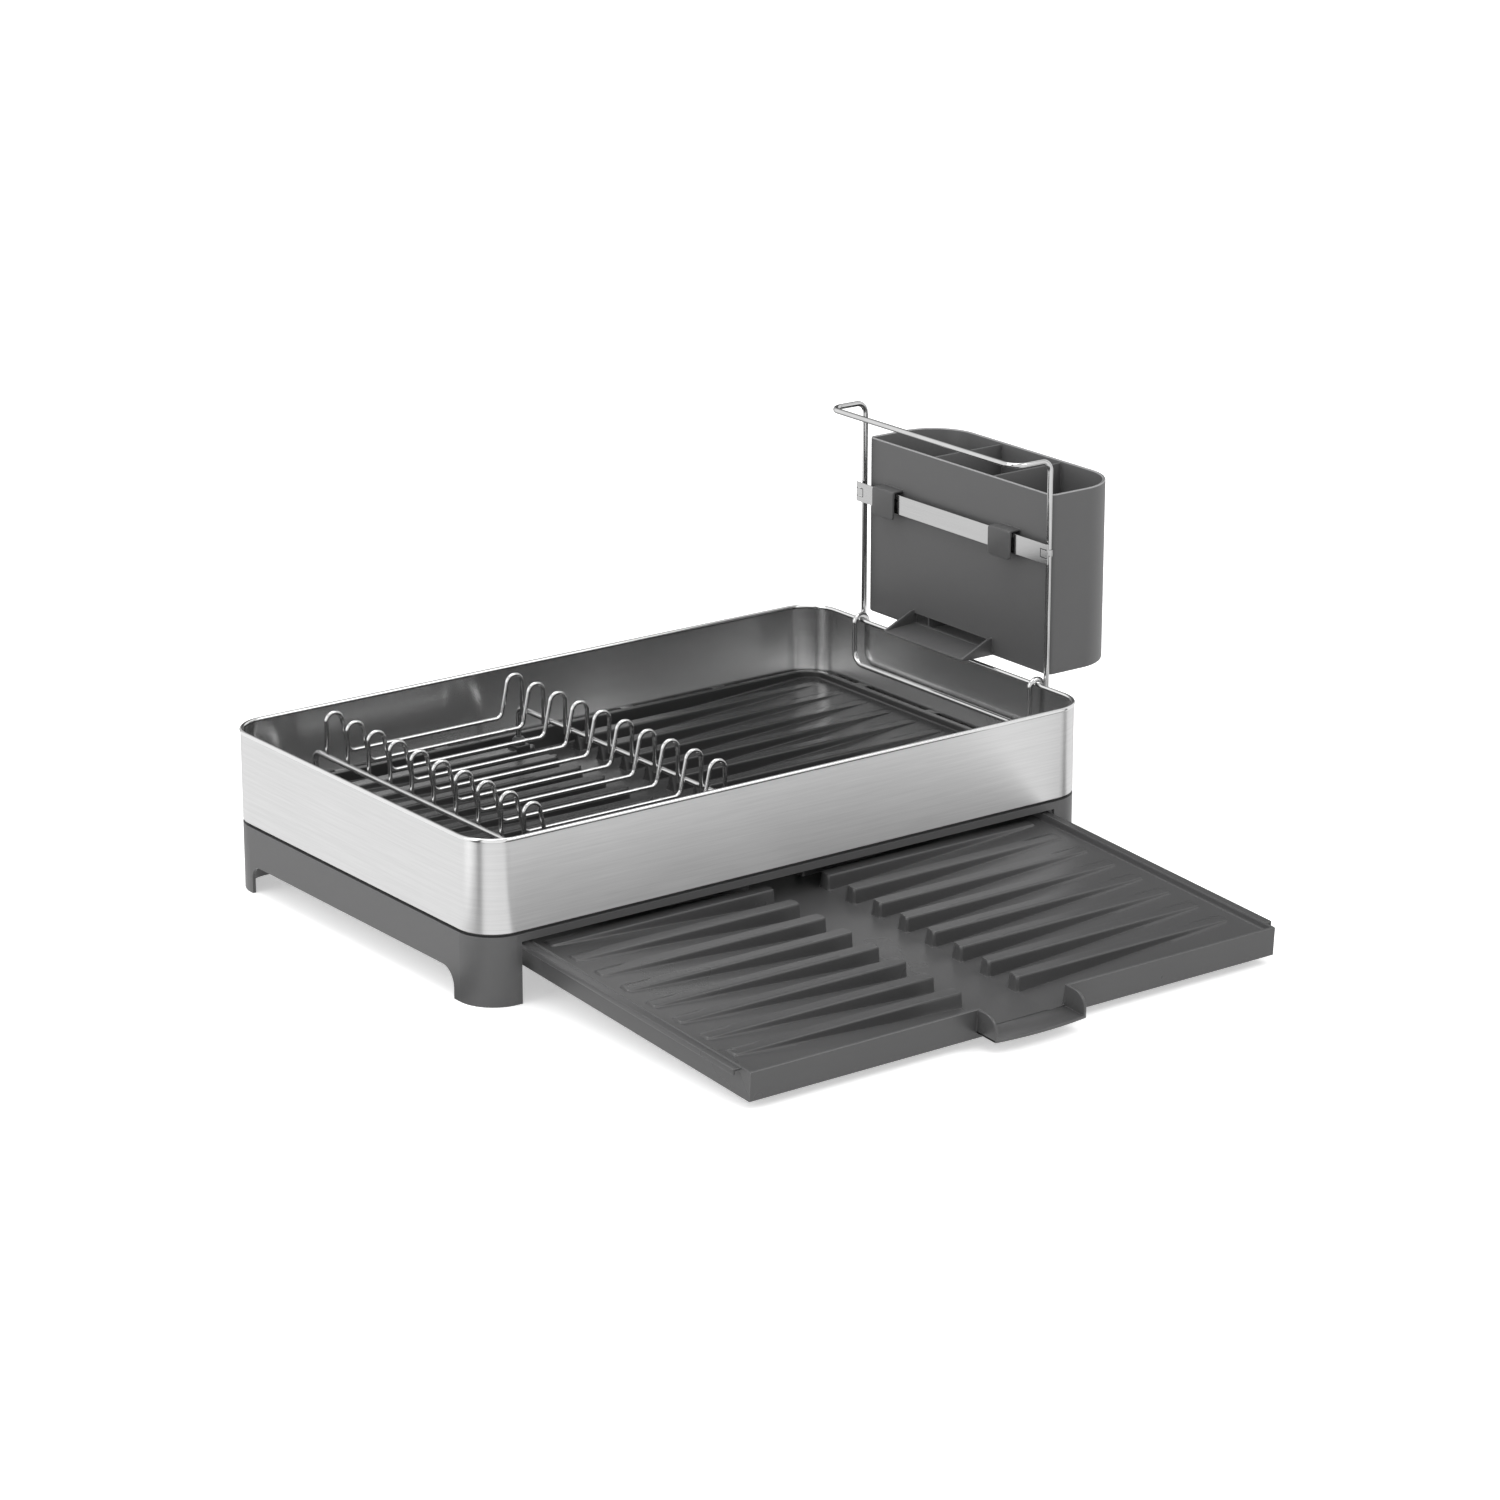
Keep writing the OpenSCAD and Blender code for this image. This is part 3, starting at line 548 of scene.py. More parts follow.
def round_bar(line, diameter, sides=20):
    """Points and faces of a round bar along a line, with softly rounded ends."""
    radius = diameter / 2
    first, last = (line[1] - line[0]).normalized(), (line[-1] - line[-2]).normalized()
    soft = radius * 0.25
    rings = [(line[0], radius - soft), (line[0] + first * soft, radius)]
    rings += [(point, radius) for point in line[1:-1]]
    rings += [(line[-1] - last * soft, radius), (line[-1], radius - soft)]
    centres = [point for point, _ in rings]
    side = first.orthogonal().normalized()
    heading = first
    verts = []
    for k, (centre, size) in enumerate(rings):
        back = centres[max(0, k - 1)]
        front = centres[min(len(rings) - 1, k + 1)]
        ahead = (front - back).normalized()
        side = heading.rotation_difference(ahead) @ side
        side = (side - ahead * side.dot(ahead)).normalized()
        heading = ahead
        up = ahead.cross(side)
        for s in range(sides):
            angle = 2 * math.pi * s / sides
            verts.append(tuple(centre + (side * math.cos(angle) + up * math.sin(angle)) * size))
    faces = [tuple(reversed(range(sides)))]
    for k in range(len(rings) - 1):
        for s in range(sides):
            t = (s + 1) % sides
            faces.append((k * sides + s, k * sides + t, (k + 1) * sides + t, (k + 1) * sides + s))
    faces.append(tuple((len(rings) - 1) * sides + s for s in range(sides)))
    return verts, faces


def add_wire(name, line, diameter, body, node_name):
    verts, faces = round_bar(line, diameter)
    return add_piece(name, verts, faces, wire_chrome, body, [node_name])


print("wire tools ready")

# %% [markdown]
# ## Plate rack
# Two cross rods, each bent down into a leg at both ends, carry ten thinner wires. Each wire rises
# to an arch at both ends, and plates stand between the arches. The sizes that set a wire's shape
# are read from its own box, and only the bend radii are stated.

# %% Plate rack wires
ROD = 4.0
ROD_BEND = 6.0
PLATE_WIRE = 3.0
ARCH = 6.3
LEAN = 12.6
RUN_BEND = 5.0
RUN_HEIGHT = 90.6


def cross_rod(side):
    low, high = reach("cross_rod_" + side)
    x = (low.x + high.x) / 2
    rise = high.z - ROD / 2 - ROD_BEND - low.z
    run = high.y - low.y - ROD - 2 * ROD_BEND
    steps = [(rise, ROD_BEND, 90, 0), (run, ROD_BEND, 90, 0), (rise, 0, 0, 0)]
    line = bend((x, low.y + ROD / 2, low.z), (0, 0, 1), (0, 1, 0), steps)
    return add_wire("rod_" + side, line, ROD, "plate_rack", "cross_rod_" + side)


def plate_wire(number):
    node_name = f"plate_wire_{number:02d}"
    low, high = reach(node_name)
    rise = high.z - PLATE_WIRE / 2 - ARCH
    lean = math.radians(LEAN)
    fall = rise - RUN_HEIGHT + ARCH * math.sin(lean)
    setback = RUN_BEND * math.tan((math.pi / 2 - lean) / 2)
    slant = fall / math.cos(lean) - setback
    span = high.x - low.x - PLATE_WIRE
    run = span - 2 * (ARCH + ARCH * math.cos(lean) + fall * math.tan(lean) + setback)
    steps = [
        (rise - low.z, ARCH, 180 - LEAN, 0),
        (slant, RUN_BEND, 90 - LEAN, 180),
        (run, RUN_BEND, 90 - LEAN, 0),
        (slant, ARCH, 180 - LEAN, 180),
        (rise - low.z, 0, 0, 0),
    ]
    start = (low.x + PLATE_WIRE / 2, (low.y + high.y) / 2, low.z)
    line = bend(start, (0, 0, 1), (1, 0, 0), steps)
    return add_wire(f"wire_{number:02d}", line, PLATE_WIRE, "plate_rack", node_name)


for rod_side in ("left", "right"):
    cross_rod(rod_side)
for wire_number in range(1, 11):
    plate_wire(wire_number)

# %% [markdown]
# ## Hanger
# The hoop stands outside the band and ends in a rail above it. The hook is a second wire, welded
# to the foot of the uprights: it arches over the rim at both sides and runs along the inside of
# the end wall, so the hanger can't slide sideways.

# %% Hanger wires
HANGER_WIRE = 4.0
HOOP_BEND = 8.0
RAIL_BEND = 10.0
HOOK_BEND = 10.0

hoop_low, hoop_high = reach("hanger_hoop")
hoop_rise = hoop_high.z - HANGER_WIRE / 2 - HOOP_BEND - hoop_low.z
hoop_arm = hoop_high.x - hoop_low.x - HANGER_WIRE - HOOP_BEND - RAIL_BEND
hoop_rail = hoop_high.y - hoop_low.y - HANGER_WIRE - 2 * RAIL_BEND
hoop_start = (hoop_high.x - HANGER_WIRE / 2, hoop_low.y + HANGER_WIRE / 2, hoop_low.z)
hoop_steps = [
    (hoop_rise, HOOP_BEND, 90, 0),
    (hoop_arm, RAIL_BEND, 90, -90),
    (hoop_rail, RAIL_BEND, 90, 0),
    (hoop_arm, HOOP_BEND, 90, 90),
    (hoop_rise, 0, 0, 0),
]
hoop_line = bend(hoop_start, (0, 0, 1), (-1, 0, 0), hoop_steps)
add_wire("hoop", hoop_line, HANGER_WIRE, "hanger", "hanger_hoop")

hook_low, hook_high = reach("hanger_hook")
hook_arch = (hook_high.x - hook_low.x - HANGER_WIRE) / 2
hook_spring = hook_high.z - HANGER_WIRE / 2 - hook_arch
hook_run_z = hook_low.z + HANGER_WIRE / 2
HOOK_WELD = 98.0
hook_drop = hook_spring - hook_run_z - HOOK_BEND
hook_run = hook_high.y - hook_low.y - HANGER_WIRE - 2 * HOOK_BEND
hook_start = (hook_high.x - HANGER_WIRE / 2, hook_low.y + HANGER_WIRE / 2, HOOK_WELD)
hook_steps = [
    (hook_spring - HOOK_WELD, hook_arch, 180, 0),
    (hook_drop, HOOK_BEND, 90, -90),
    (hook_run, HOOK_BEND, 90, 0),
    (hook_drop, hook_arch, 180, 90),
    (hook_spring - HOOK_WELD, 0, 0, 0),
]
hook_line = bend(hook_start, (0, 0, 1), (-1, 0, 0), hook_steps)
add_wire("hook", hook_line, HANGER_WIRE, "hanger", "hanger_hook")

# %% Blocks and prisms
def to_lists(work):
    """A working mesh as plain points and faces."""
    work.verts.index_update()
    verts = [tuple(vert.co) for vert in work.verts]
    faces = [tuple(vert.index for vert in face.verts) for face in work.faces]
    work.free()
    return verts, faces


def soft_prism(outline, shift, radius, steps=2):
    """A closed outline pushed along `shift`, with every sharp edge rounded."""
    work = bmesh.new()
    near = [work.verts.new(point) for point in outline]
    far = [work.verts.new(Vector(point) + Vector(shift)) for point in outline]
    work.faces.new(near)
    work.faces.new(list(reversed(far)))
    for k in range(len(near)):
        after = (k + 1) % len(near)
        work.faces.new((near[after], near[k], far[k], far[after]))
    bmesh.ops.recalc_face_normals(work, faces=work.faces)
    if radius:
        sharp = [edge for edge in work.edges if edge.calc_face_angle() > math.radians(30)]
        bmesh.ops.bevel(
            work, geom=sharp, offset=radius, segments=steps, profile=0.5, affect="EDGES", clamp_overlap=True
        )
    return to_lists(work)


def soft_block(low, high, radius):
    """A box between two opposite corners, with rounded edges."""
    outline = [(low[0], low[1]), (high[0], low[1]), (high[0], high[1]), (low[0], high[1])]
    return soft_prism([(x, y, low[2]) for x, y in outline], (0, 0, high[2] - low[2]), radius)


def mirrored(part):
    """The same part on the other side of the rack's middle."""
    verts, faces = part
    return [(-x, y, z) for x, y, z in verts], [tuple(reversed(face)) for face in faces]


def join(parts):
    verts, faces = [], []
    for part_verts, part_faces in parts:
        first = len(verts)
        verts += part_verts
        faces += [tuple(index + first for index in face) for face in part_faces]
    return verts, faces


print("block tools ready")

# %% [markdown]
# ## Ribbed panels
# The drain board and the tray are both thin floors with ribs that fade out as the floor rises.
# A moulder would draw them as heights over a plan, and so does this. The grid lines crowd
# together only where the height changes: at the side of a rib, at its ends, and along the walls.
# The underside follows two millimetres below, and a strip of faces closes the edge.


# %% Panel tools
def smooth(value):
    """0 below 0, 1 above 1, and an easy curve between."""
    value = min(1.0, max(0.0, value))
    return value * value * (3 - 2 * value)


def crowd(lines, offsets):
    """Grid lines at the given offsets from each line, in rising order, without doubles."""
    made = sorted(line + offset for line in lines for offset in offsets)
    kept = [made[0]]
    for value in made[1:]:
        if value - kept[-1] > 0.08:
            kept.append(value)
    return kept


def fill_gaps(lines, widest):
    """More lines wherever two are too far apart."""
    filled = [lines[0]]
    for value in lines[1:]:
        parts = max(1, math.ceil((value - filled[-1]) / widest))
        start = filled[-1]
        filled += [start + (value - start) * (k + 1) / parts for k in range(parts)]
    return filled


def inside_rib(x, y, rib):
    """Distance inside a rib's plan: a rectangle with round corners."""
    x0, x1, middle, width, radius = rib
    dx = abs(x - (x0 + x1) / 2) - ((x1 - x0) / 2 - radius)
    dy = abs(y - middle) - (width / 2 - radius)
    outside = math.hypot(max(dx, 0), max(dy, 0))
    return radius - outside - min(max(dx, dy), 0)


def rib_share(x, y, rib):
    """The share of a rib's full height that stands at a point, soft at the rib's edge."""
    return smooth((inside_rib(x, y, rib) + 0.65) / 1.35)


def panel(xs, ys, top, bottom, keep, settle):
    """A closed sheet between two height functions over the kept cells of a grid."""
    columns = len(ys)
    plan = [(x, y) for x in xs for y in ys]
    verts = [(*settle(x, y), top(x, y)) for x, y in plan]
    verts += [(*settle(x, y), bottom(x, y)) for x, y in plan]
    below = len(plan)
    cells = []
    for i in range(len(xs) - 1):
        for j in range(columns - 1):
            a = i * columns + j
            cell = (a, a + columns, a + columns + 1, a + 1)
            if any(keep(*plan[index]) for index in cell):
                cells.append(cell)
    ways = {(cell[k], cell[(k + 1) % 4]) for cell in cells for k in range(4)}
    faces = list(cells)
    faces += [tuple(index + below for index in reversed(cell)) for cell in cells]
    for a, b in ways:
        if (b, a) not in ways:
            faces.append((b, a, a + below, b + below))
    used = sorted({index for face in faces for index in face})
    renumber = {index: k for k, index in enumerate(used)}
    return [verts[index] for index in used], [tuple(renumber[i] for i in face) for face in faces]


EDGE_STEPS = (-0.65, -0.45, -0.25, -0.05, 0.15, 0.35, 0.55, 0.85)
print("panel tools ready")

# %% [markdown]
# ## Drain board
# The border lies flat round the field, with a fine raised line at its inner edge. The field is a
# shallow valley that drains to a channel in the middle. Tabs bridge the gap to the steel, and
# four bosses carry the plate rack.

# %% Drain board sizes
board_low, board_high = reach("drain_board")
BOARD_HX, BOARD_HY = 249.2, 152.7
BOARD_R = 21.2
BORDER = 6.0
BOARD_T = 2.0
BOARD_Z = board_high.z - 0.6
CHANNEL_Z = board_low.z + BOARD_T
RIB_TOP = 62.0
FIELD_HX, FIELD_HY = BOARD_HX - BORDER, BOARD_HY - BORDER
FIELD_R = BOARD_R - BORDER
CHANNEL_HALF = 18.0
RIB_END = 238.0
BOARD_RIBS = [(k - 4.5) * 29.0 for k in range(10)]
BOARD_RIB_W, BOARD_RIB_R = 10.5, 5.2
LINE_RISE = 0.8
print("drain board from", round(board_low.z, 2), "to", round(board_high.z, 2))


# %% Drain board heights
def valley(x, flat, low, edge, high):
    """Height of a floor that is flat in the middle and rises to both sides."""
    rise = max(0.0, abs(x) - flat) / (edge - flat)
    return low + (high - low) * rise


def board_floor(x):
    return valley(x, CHANNEL_HALF, CHANNEL_Z, FIELD_HX + BOARD_T, RIB_TOP)


def board_top(x, y):
    floor_z = board_floor(x)
    row = min(BOARD_RIBS, key=lambda rib_y: abs(rib_y - y))
    share = rib_share(abs(x), y, (CHANNEL_HALF, RIB_END, row, BOARD_RIB_W, BOARD_RIB_R))
    height = floor_z + (RIB_TOP - floor_z) * share
    corner = inside_rib(x, y, (-FIELD_HX, FIELD_HX, 0, 2 * FIELD_HY, FIELD_R))
    return height + LINE_RISE * (1 - smooth(corner / 1.6)) ** 2


def board_bottom(x, y):
    return board_floor(x) - BOARD_T + 0.01


def in_field(x, y):
    return inside_rib(x, y, (-FIELD_HX, FIELD_HX, 0, 2 * FIELD_HY, FIELD_R)) > 0


def onto_field(x, y):
    """A point outside the field's round corner moved onto a line just outside it."""
    cx, cy = FIELD_HX - FIELD_R, FIELD_HY - FIELD_R
    if abs(x) > cx and abs(y) > cy:
        away = Vector((abs(x) - cx, abs(y) - cy))
        if away.length > FIELD_R + 1:
            away = away.normalized() * (FIELD_R + 1)
            return math.copysign(cx + away.x, x), math.copysign(cy + away.y, y)
    return x, y


# %% Drain board
RIB_EASE = (1.6, 2.4, 3.4, 4.4, 5.4)
BORDER_EASE = (1.0, 0.0, -0.5, -1.1, -1.7)
side_x = crowd([CHANNEL_HALF, RIB_END], EDGE_STEPS)
side_x += [CHANNEL_HALF + step for step in RIB_EASE] + [RIB_END - step for step in RIB_EASE]
side_x += [FIELD_HX + step for step in BORDER_EASE]
board_x = fill_gaps(sorted([-x for x in side_x] + [0.0] + side_x), 9.0)
rib_edges = [row + side * BOARD_RIB_W / 2 for row in BOARD_RIBS for side in (-1, 1)]
board_y = crowd(rib_edges, EDGE_STEPS)
board_y += [side * (FIELD_HY + step) for side in (-1, 1) for step in BORDER_EASE]
board_y = fill_gaps(sorted(board_y), 4.0)
field = panel(board_x, board_y, board_top, board_bottom, in_field, onto_field)

border_outline, border_length = rounded_outline(BOARD_HX, BOARD_HY, BOARD_R)


def border_section(x):
    foot = max(board_low.z, board_floor(x) - BOARD_T)
    z = BOARD_Z
    return [
        (0.4, z - BOARD_T), (0.0, z - BOARD_T + 0.4), (0.0, z - 0.6), (0.18, z - 0.18), (0.6, z),
        (4.4, z), (4.62, z + 0.08), (4.75, z + 0.35), (5.0, z + 0.58), (5.3, z + 0.6),
        (5.7, z + 0.5), (5.95, z + 0.15), (6.0, z - 0.4), (6.0, foot), (4.0, foot), (4.0, z - BOARD_T),
    ]


border = carry_section(border_outline, border_length, border_section)[:2]
board_parts = [field, border]
TAB_HALF, TAB_LOW, TAB_HIGH = 5.5, 63.6, 65.2
BOSS_HALF, BOSS_LOW, BOSS_HIGH = 6.0, 58.0, 64.8


def tab_span(edge, side):
    """Where a tab starts inside the border's edge and ends past it, on one side."""
    return sorted((side * (edge - 1.1), side * (edge + 4.9)))


for side in (-1, 1):
    for tab_y in (-69, 14, 97):
        low_x, high_x = tab_span(BOARD_HX, side)
        low = (low_x, tab_y - TAB_HALF, TAB_LOW)
        board_parts.append(soft_block(low, (high_x, tab_y + TAB_HALF, TAB_HIGH), 0.4))
    for tab_x in (-164, -81, 81, 164):
        low_y, high_y = tab_span(BOARD_HY, side)
        low = (tab_x - TAB_HALF, low_y, TAB_LOW)
        board_parts.append(soft_block(low, (tab_x + TAB_HALF, high_y, TAB_HIGH), 0.4))
    for boss_x in (-200.0, -30.8):
        boss_y = side * 131.5
        low = (boss_x - BOSS_HALF, boss_y - BOSS_HALF, BOSS_LOW)
        board_parts.append(soft_block(low, (boss_x + BOSS_HALF, boss_y + BOSS_HALF, BOSS_HIGH), 0.7))
board_verts, board_faces = join(board_parts)
add_piece("board", board_verts, board_faces, board_plastic, "rack", ["drain_board"])

# %% [markdown]
# ## Drip tray
# The tray is drawn in its own level frame, from the front wall backwards, and then tipped to the
# slope at which it sits. Its floor falls to a middle channel and on to the spout. Flanges with a
# turned-down lip stiffen its sides, and two level shoes ride on the base's ledges.

# %% Drip tray sizes
tray_low, _ = reach("drip_tray")
TRAY_SLOPE = math.radians(3.54)
TRAY_HX = 216.2
TRAY_DEPTH = 300.0
TRAY_WALL_H = 20.0
TRAY_T = 2.0
TRAY_LIFT = 20.8
TRAY_CHANNEL = 5.6
TRAY_EDGE = 15.8
TRAY_RIB_TOP = 16.3
TRAY_CHANNEL_HALF = 22.4
TRAY_RIB_END = 203.8
TRAY_RIBS = [37.5 + k * 28.6 for k in range(9)]
TRAY_RIB_W, TRAY_RIB_R = 10.0, 2.0
FLANGE_Y0, FLANGE_Z, FLANGE_W, FLANGE_T, FLANGE_LIP = 9.8, 19.5, 6.0, 1.6, 4.0
SPOUT_HALF = 37.5
SPOUT_OUT = 19.0
SPOUT_BULGE = 2.5
lip_height = TRAY_LIFT + TRAY_CHANNEL
front_of_base = -158.5
stands_out = (front_of_base - tray_low.y - lip_height * math.sin(TRAY_SLOPE)) / math.cos(TRAY_SLOPE)
TRAY_OUT = stands_out - SPOUT_OUT - SPOUT_BULGE
print("tray stands out", round(TRAY_OUT, 2), "mm")


# %% Drip tray heights
def tip(part):
    """A part from the tray's own frame to the rack's."""
    verts, faces = part
    sin, cos = math.sin(TRAY_SLOPE), math.cos(TRAY_SLOPE)
    tipped = []
    for x, y, z in verts:
        back, up = y - TRAY_OUT, z + TRAY_LIFT
        tipped.append((x, front_of_base + back * cos - up * sin, back * sin + up * cos))
    return tipped, faces


def tray_floor(x):
    return valley(x, TRAY_CHANNEL_HALF, TRAY_CHANNEL, TRAY_HX - TRAY_T / 2, TRAY_EDGE)


def tray_top(x, y):
    floor_z = tray_floor(x)
    row = min(TRAY_RIBS, key=lambda rib_y: abs(rib_y - y))
    share = rib_share(abs(x), y, (TRAY_CHANNEL_HALF, TRAY_RIB_END, row, TRAY_RIB_W, TRAY_RIB_R))
    height = floor_z + (TRAY_RIB_TOP - floor_z) * share
    edge = min(TRAY_HX - abs(x), y, TRAY_DEPTH - y)
    wall_z = TRAY_WALL_H - 0.5 * (1 - smooth(edge / 0.5))
    wall_z = height + (wall_z - height) * (1 - smooth((edge - 1.5) / 1.5))
    mouth = smooth((SPOUT_HALF - TRAY_T + 0.6 - abs(x)) / 1.2) if y < TRAY_DEPTH / 2 else 0.0
    return wall_z + (height - wall_z) * mouth


def tray_bottom(x, y):
    edge = min(TRAY_HX - abs(x), y, TRAY_DEPTH - y)
    under = tray_floor(x) - TRAY_T
    return under * smooth((edge - 1.2) / 1.0)


# %% Drip tray
WALL_STEPS = (0.0, 0.15, 0.35, 0.6, 1.0, 1.5, 1.7, 1.95, 2.2, 2.5, 2.8, 3.1, 4.0)
half_x = crowd([TRAY_CHANNEL_HALF, TRAY_RIB_END], EDGE_STEPS)
half_x += [TRAY_CHANNEL_HALF + 1.5, TRAY_CHANNEL_HALF + 2.2, TRAY_RIB_END - 1.5, TRAY_RIB_END - 2.2]
half_x += [TRAY_HX - step for step in WALL_STEPS]
half_x += [SPOUT_HALF - TRAY_T + step for step in (-0.8, -0.6, -0.3, 0.0, 0.3, 0.6)]
tray_x = fill_gaps(sorted([-x for x in half_x] + [0.0] + half_x), 9.0)
tray_y = crowd([row + side * TRAY_RIB_W / 2 for row in TRAY_RIBS for side in (-1, 1)], EDGE_STEPS)
tray_y += [*WALL_STEPS] + [TRAY_DEPTH - step for step in WALL_STEPS]
tray_y = fill_gaps(sorted(tray_y), 4.0)
pan = panel(tray_x, tray_y, tray_top, tray_bottom, lambda x, y: True, lambda x, y: (x, y))

flange_section = [
    (-1.0, FLANGE_Z),
    (FLANGE_W, FLANGE_Z),
    (FLANGE_W, FLANGE_Z - FLANGE_LIP),
    (FLANGE_W - FLANGE_T, FLANGE_Z - FLANGE_LIP),
    (FLANGE_W - FLANGE_T, FLANGE_Z - FLANGE_T),
    (-1.0, FLANGE_Z - FLANGE_T),
]
flange_end = [(TRAY_HX + out, FLANGE_Y0, z) for out, z in flange_section]
flange = soft_prism(flange_end, (0, TRAY_DEPTH - FLANGE_Y0, 0), 0.6, 3)
lip_r = (SPOUT_HALF**2 + SPOUT_BULGE**2) / (2 * SPOUT_BULGE)
spout_under = TRAY_CHANNEL - TRAY_T
lip = []
for k in range(25):
    x = SPOUT_HALF * (k / 12 - 1)
    lip.append((x, lip_r - SPOUT_OUT - SPOUT_BULGE - math.sqrt(lip_r**2 - x**2), spout_under))
spout_plan = [*lip, (SPOUT_HALF, 1.5, spout_under), (-SPOUT_HALF, 1.5, spout_under)]
spout_floor = soft_prism(spout_plan, (0, 0, TRAY_T), 0.5)
NOSE_R = 11
nose = [(-SPOUT_OUT + NOSE_R + dx, TRAY_WALL_H - NOSE_R + dz) for dx, dz in arc(0, 0, NOSE_R, 90, 180, 14)]
cheek_outline = [(1.6, TRAY_WALL_H), *nose, (-SPOUT_OUT, spout_under), (1.6, spout_under)]
cheek = soft_prism([(SPOUT_HALF - TRAY_T, y, z) for y, z in cheek_outline], (TRAY_T, 0, 0), 0.6, 3)
tray_parts = [tip(part) for part in (pan, flange, mirrored(flange), spout_floor, cheek, mirrored(cheek))]
shoe = soft_block((TRAY_HX - 1, -123.9, 41.2), (229.0, -95.5, 45.5), 0.5)
tray_parts += [shoe, mirrored(shoe)]
tray_verts, tray_faces = join(tray_parts)
add_piece("tray", tray_verts, tray_faces, tray_plastic, "tray", ["drip_tray"])

# %% [markdown]
# ## Cutlery holder
# The holder is a box with a D-shaped plan. Its wall is one section carried round that plan. The
# cells that the drain hole takes away are left out, and the cut is closed with a sill, a lintel
# and two jambs. The floor, the dividers, the two clips and the chute are added as soft solids.

# %% Holder wall
holder_low, holder_high = reach("cutlery_holder")
HOLDER_X0, HOLDER_X1 = 262.5, holder_high.x
HOLDER_HALF = holder_high.y
HOLDER_Z0, HOLDER_Z1 = holder_low.z, holder_high.z
HOLDER_WALL = 2.2
EDGE_R = 0.8
HOLDER_BACK_R, HOLDER_FRONT_R = 37, 5
CHUTE_Y = 4.3
HOLE_Y0, HOLE_Y1 = CHUTE_Y - 43.5, CHUTE_Y + 43.5
HOLE_Z0, HOLE_Z1 = 123.0, 130.3
holder_corners = [
    (HOLDER_X1 - HOLDER_BACK_R, -HOLDER_HALF + HOLDER_BACK_R, HOLDER_BACK_R, -90),
    (HOLDER_X1 - HOLDER_BACK_R, HOLDER_HALF - HOLDER_BACK_R, HOLDER_BACK_R, 0),
    (HOLDER_X0 + HOLDER_FRONT_R, HOLDER_HALF - HOLDER_FRONT_R, HOLDER_FRONT_R, 90),
    (HOLDER_X0 + HOLDER_FRONT_R, -HOLDER_HALF + HOLDER_FRONT_R, HOLDER_FRONT_R, 180),
]
holder_plan = []
for cx, cy, radius, start in holder_corners:
    for k in range(17):
        angle = math.radians(start + 90 * k / 16)
        across, along = math.cos(angle), math.sin(angle)
        holder_plan.append((cx + radius * across, cy + radius * along, across, along, 0.0))
    if start == 90:
        holder_plan += [(HOLDER_X0, HOLE_Y1, -1, 0, 0.0), (HOLDER_X0, HOLE_Y0, -1, 0, 0.0)]
holder_section = [
    (1.6, HOLDER_Z0), (0.9, HOLDER_Z0 + 0.15), (0.3, HOLDER_Z0 + 0.6), (0.0, HOLDER_Z0 + 1.5),
    (0.0, HOLE_Z0), (0.0, HOLE_Z1), (0.0, HOLDER_Z1 - EDGE_R), (0.25, HOLDER_Z1 - 0.25), (EDGE_R, HOLDER_Z1),
    (HOLDER_WALL - EDGE_R, HOLDER_Z1), (HOLDER_WALL - 0.25, HOLDER_Z1 - 0.25),
    (HOLDER_WALL, HOLDER_Z1 - EDGE_R), (HOLDER_WALL, HOLE_Z1), (HOLDER_WALL, HOLE_Z0),
    (HOLDER_WALL, HOLDER_Z0),
]
wall_verts, wall_faces, _ = carry_section(holder_plan, 0.0, lambda x: holder_section)
rows = len(holder_section)
hole_start = next(k for k, point in enumerate(holder_plan) if point[:2] == (HOLDER_X0, HOLE_Y1))
first, second = hole_start * rows, (hole_start + 1) * rows
outer_low, outer_high, inner_high, inner_low = 4, 5, 12, 13
cut = {(hole_start, outer_low), (hole_start, inner_high)}
wall_faces = [face for k, face in enumerate(wall_faces) if (k // rows, k % rows) not in cut]
wall_faces += [
    (first + outer_low, second + outer_low, second + inner_low, first + inner_low),
    (second + outer_high, first + outer_high, first + inner_high, second + inner_high),
    (first + outer_high, first + outer_low, first + inner_low, first + inner_high),
    (second + outer_low, second + outer_high, second + inner_high, second + inner_low),
]
print("holder wall", len(wall_faces), "faces")

# %% Holder parts
floor_plan = [(x - nx * 1.6, y - ny * 1.6, HOLDER_Z0) for x, y, nx, ny, _ in holder_plan]
holder_parts = [(wall_verts, wall_faces), soft_prism(floor_plan, (0, 0, 2.4), 0)]
for side in (-1, 1):
    divider_y = side * 33.3
    divider_low = (HOLDER_X0 + 1.1, divider_y - 0.8, HOLDER_Z0 + 1.2)
    divider_high = (HOLDER_X1 - 1.1, divider_y + 0.8, HOLDER_Z1 - 1.5)
    holder_parts.append(soft_block(divider_low, divider_high, 0.5))
CLIP_W, CLIP_R, CLIP_T = 24.4, 2.5, 1.9
CLIP_X0, CLIP_Z0, CLIP_Z1 = 252.0, 198.5, 219.6
arm = [
    (CLIP_X0 + 0.9, 214.3), (254.95, 214.3), (254.95, 218.05), (HOLDER_X0 + 1, 218.05),
    (HOLDER_X0 + 1, CLIP_Z1), (CLIP_X0 + 0.9, CLIP_Z1),
]
half_w, half_h = CLIP_W / 2 - CLIP_R, (CLIP_Z1 - CLIP_Z0) / 2 - CLIP_R
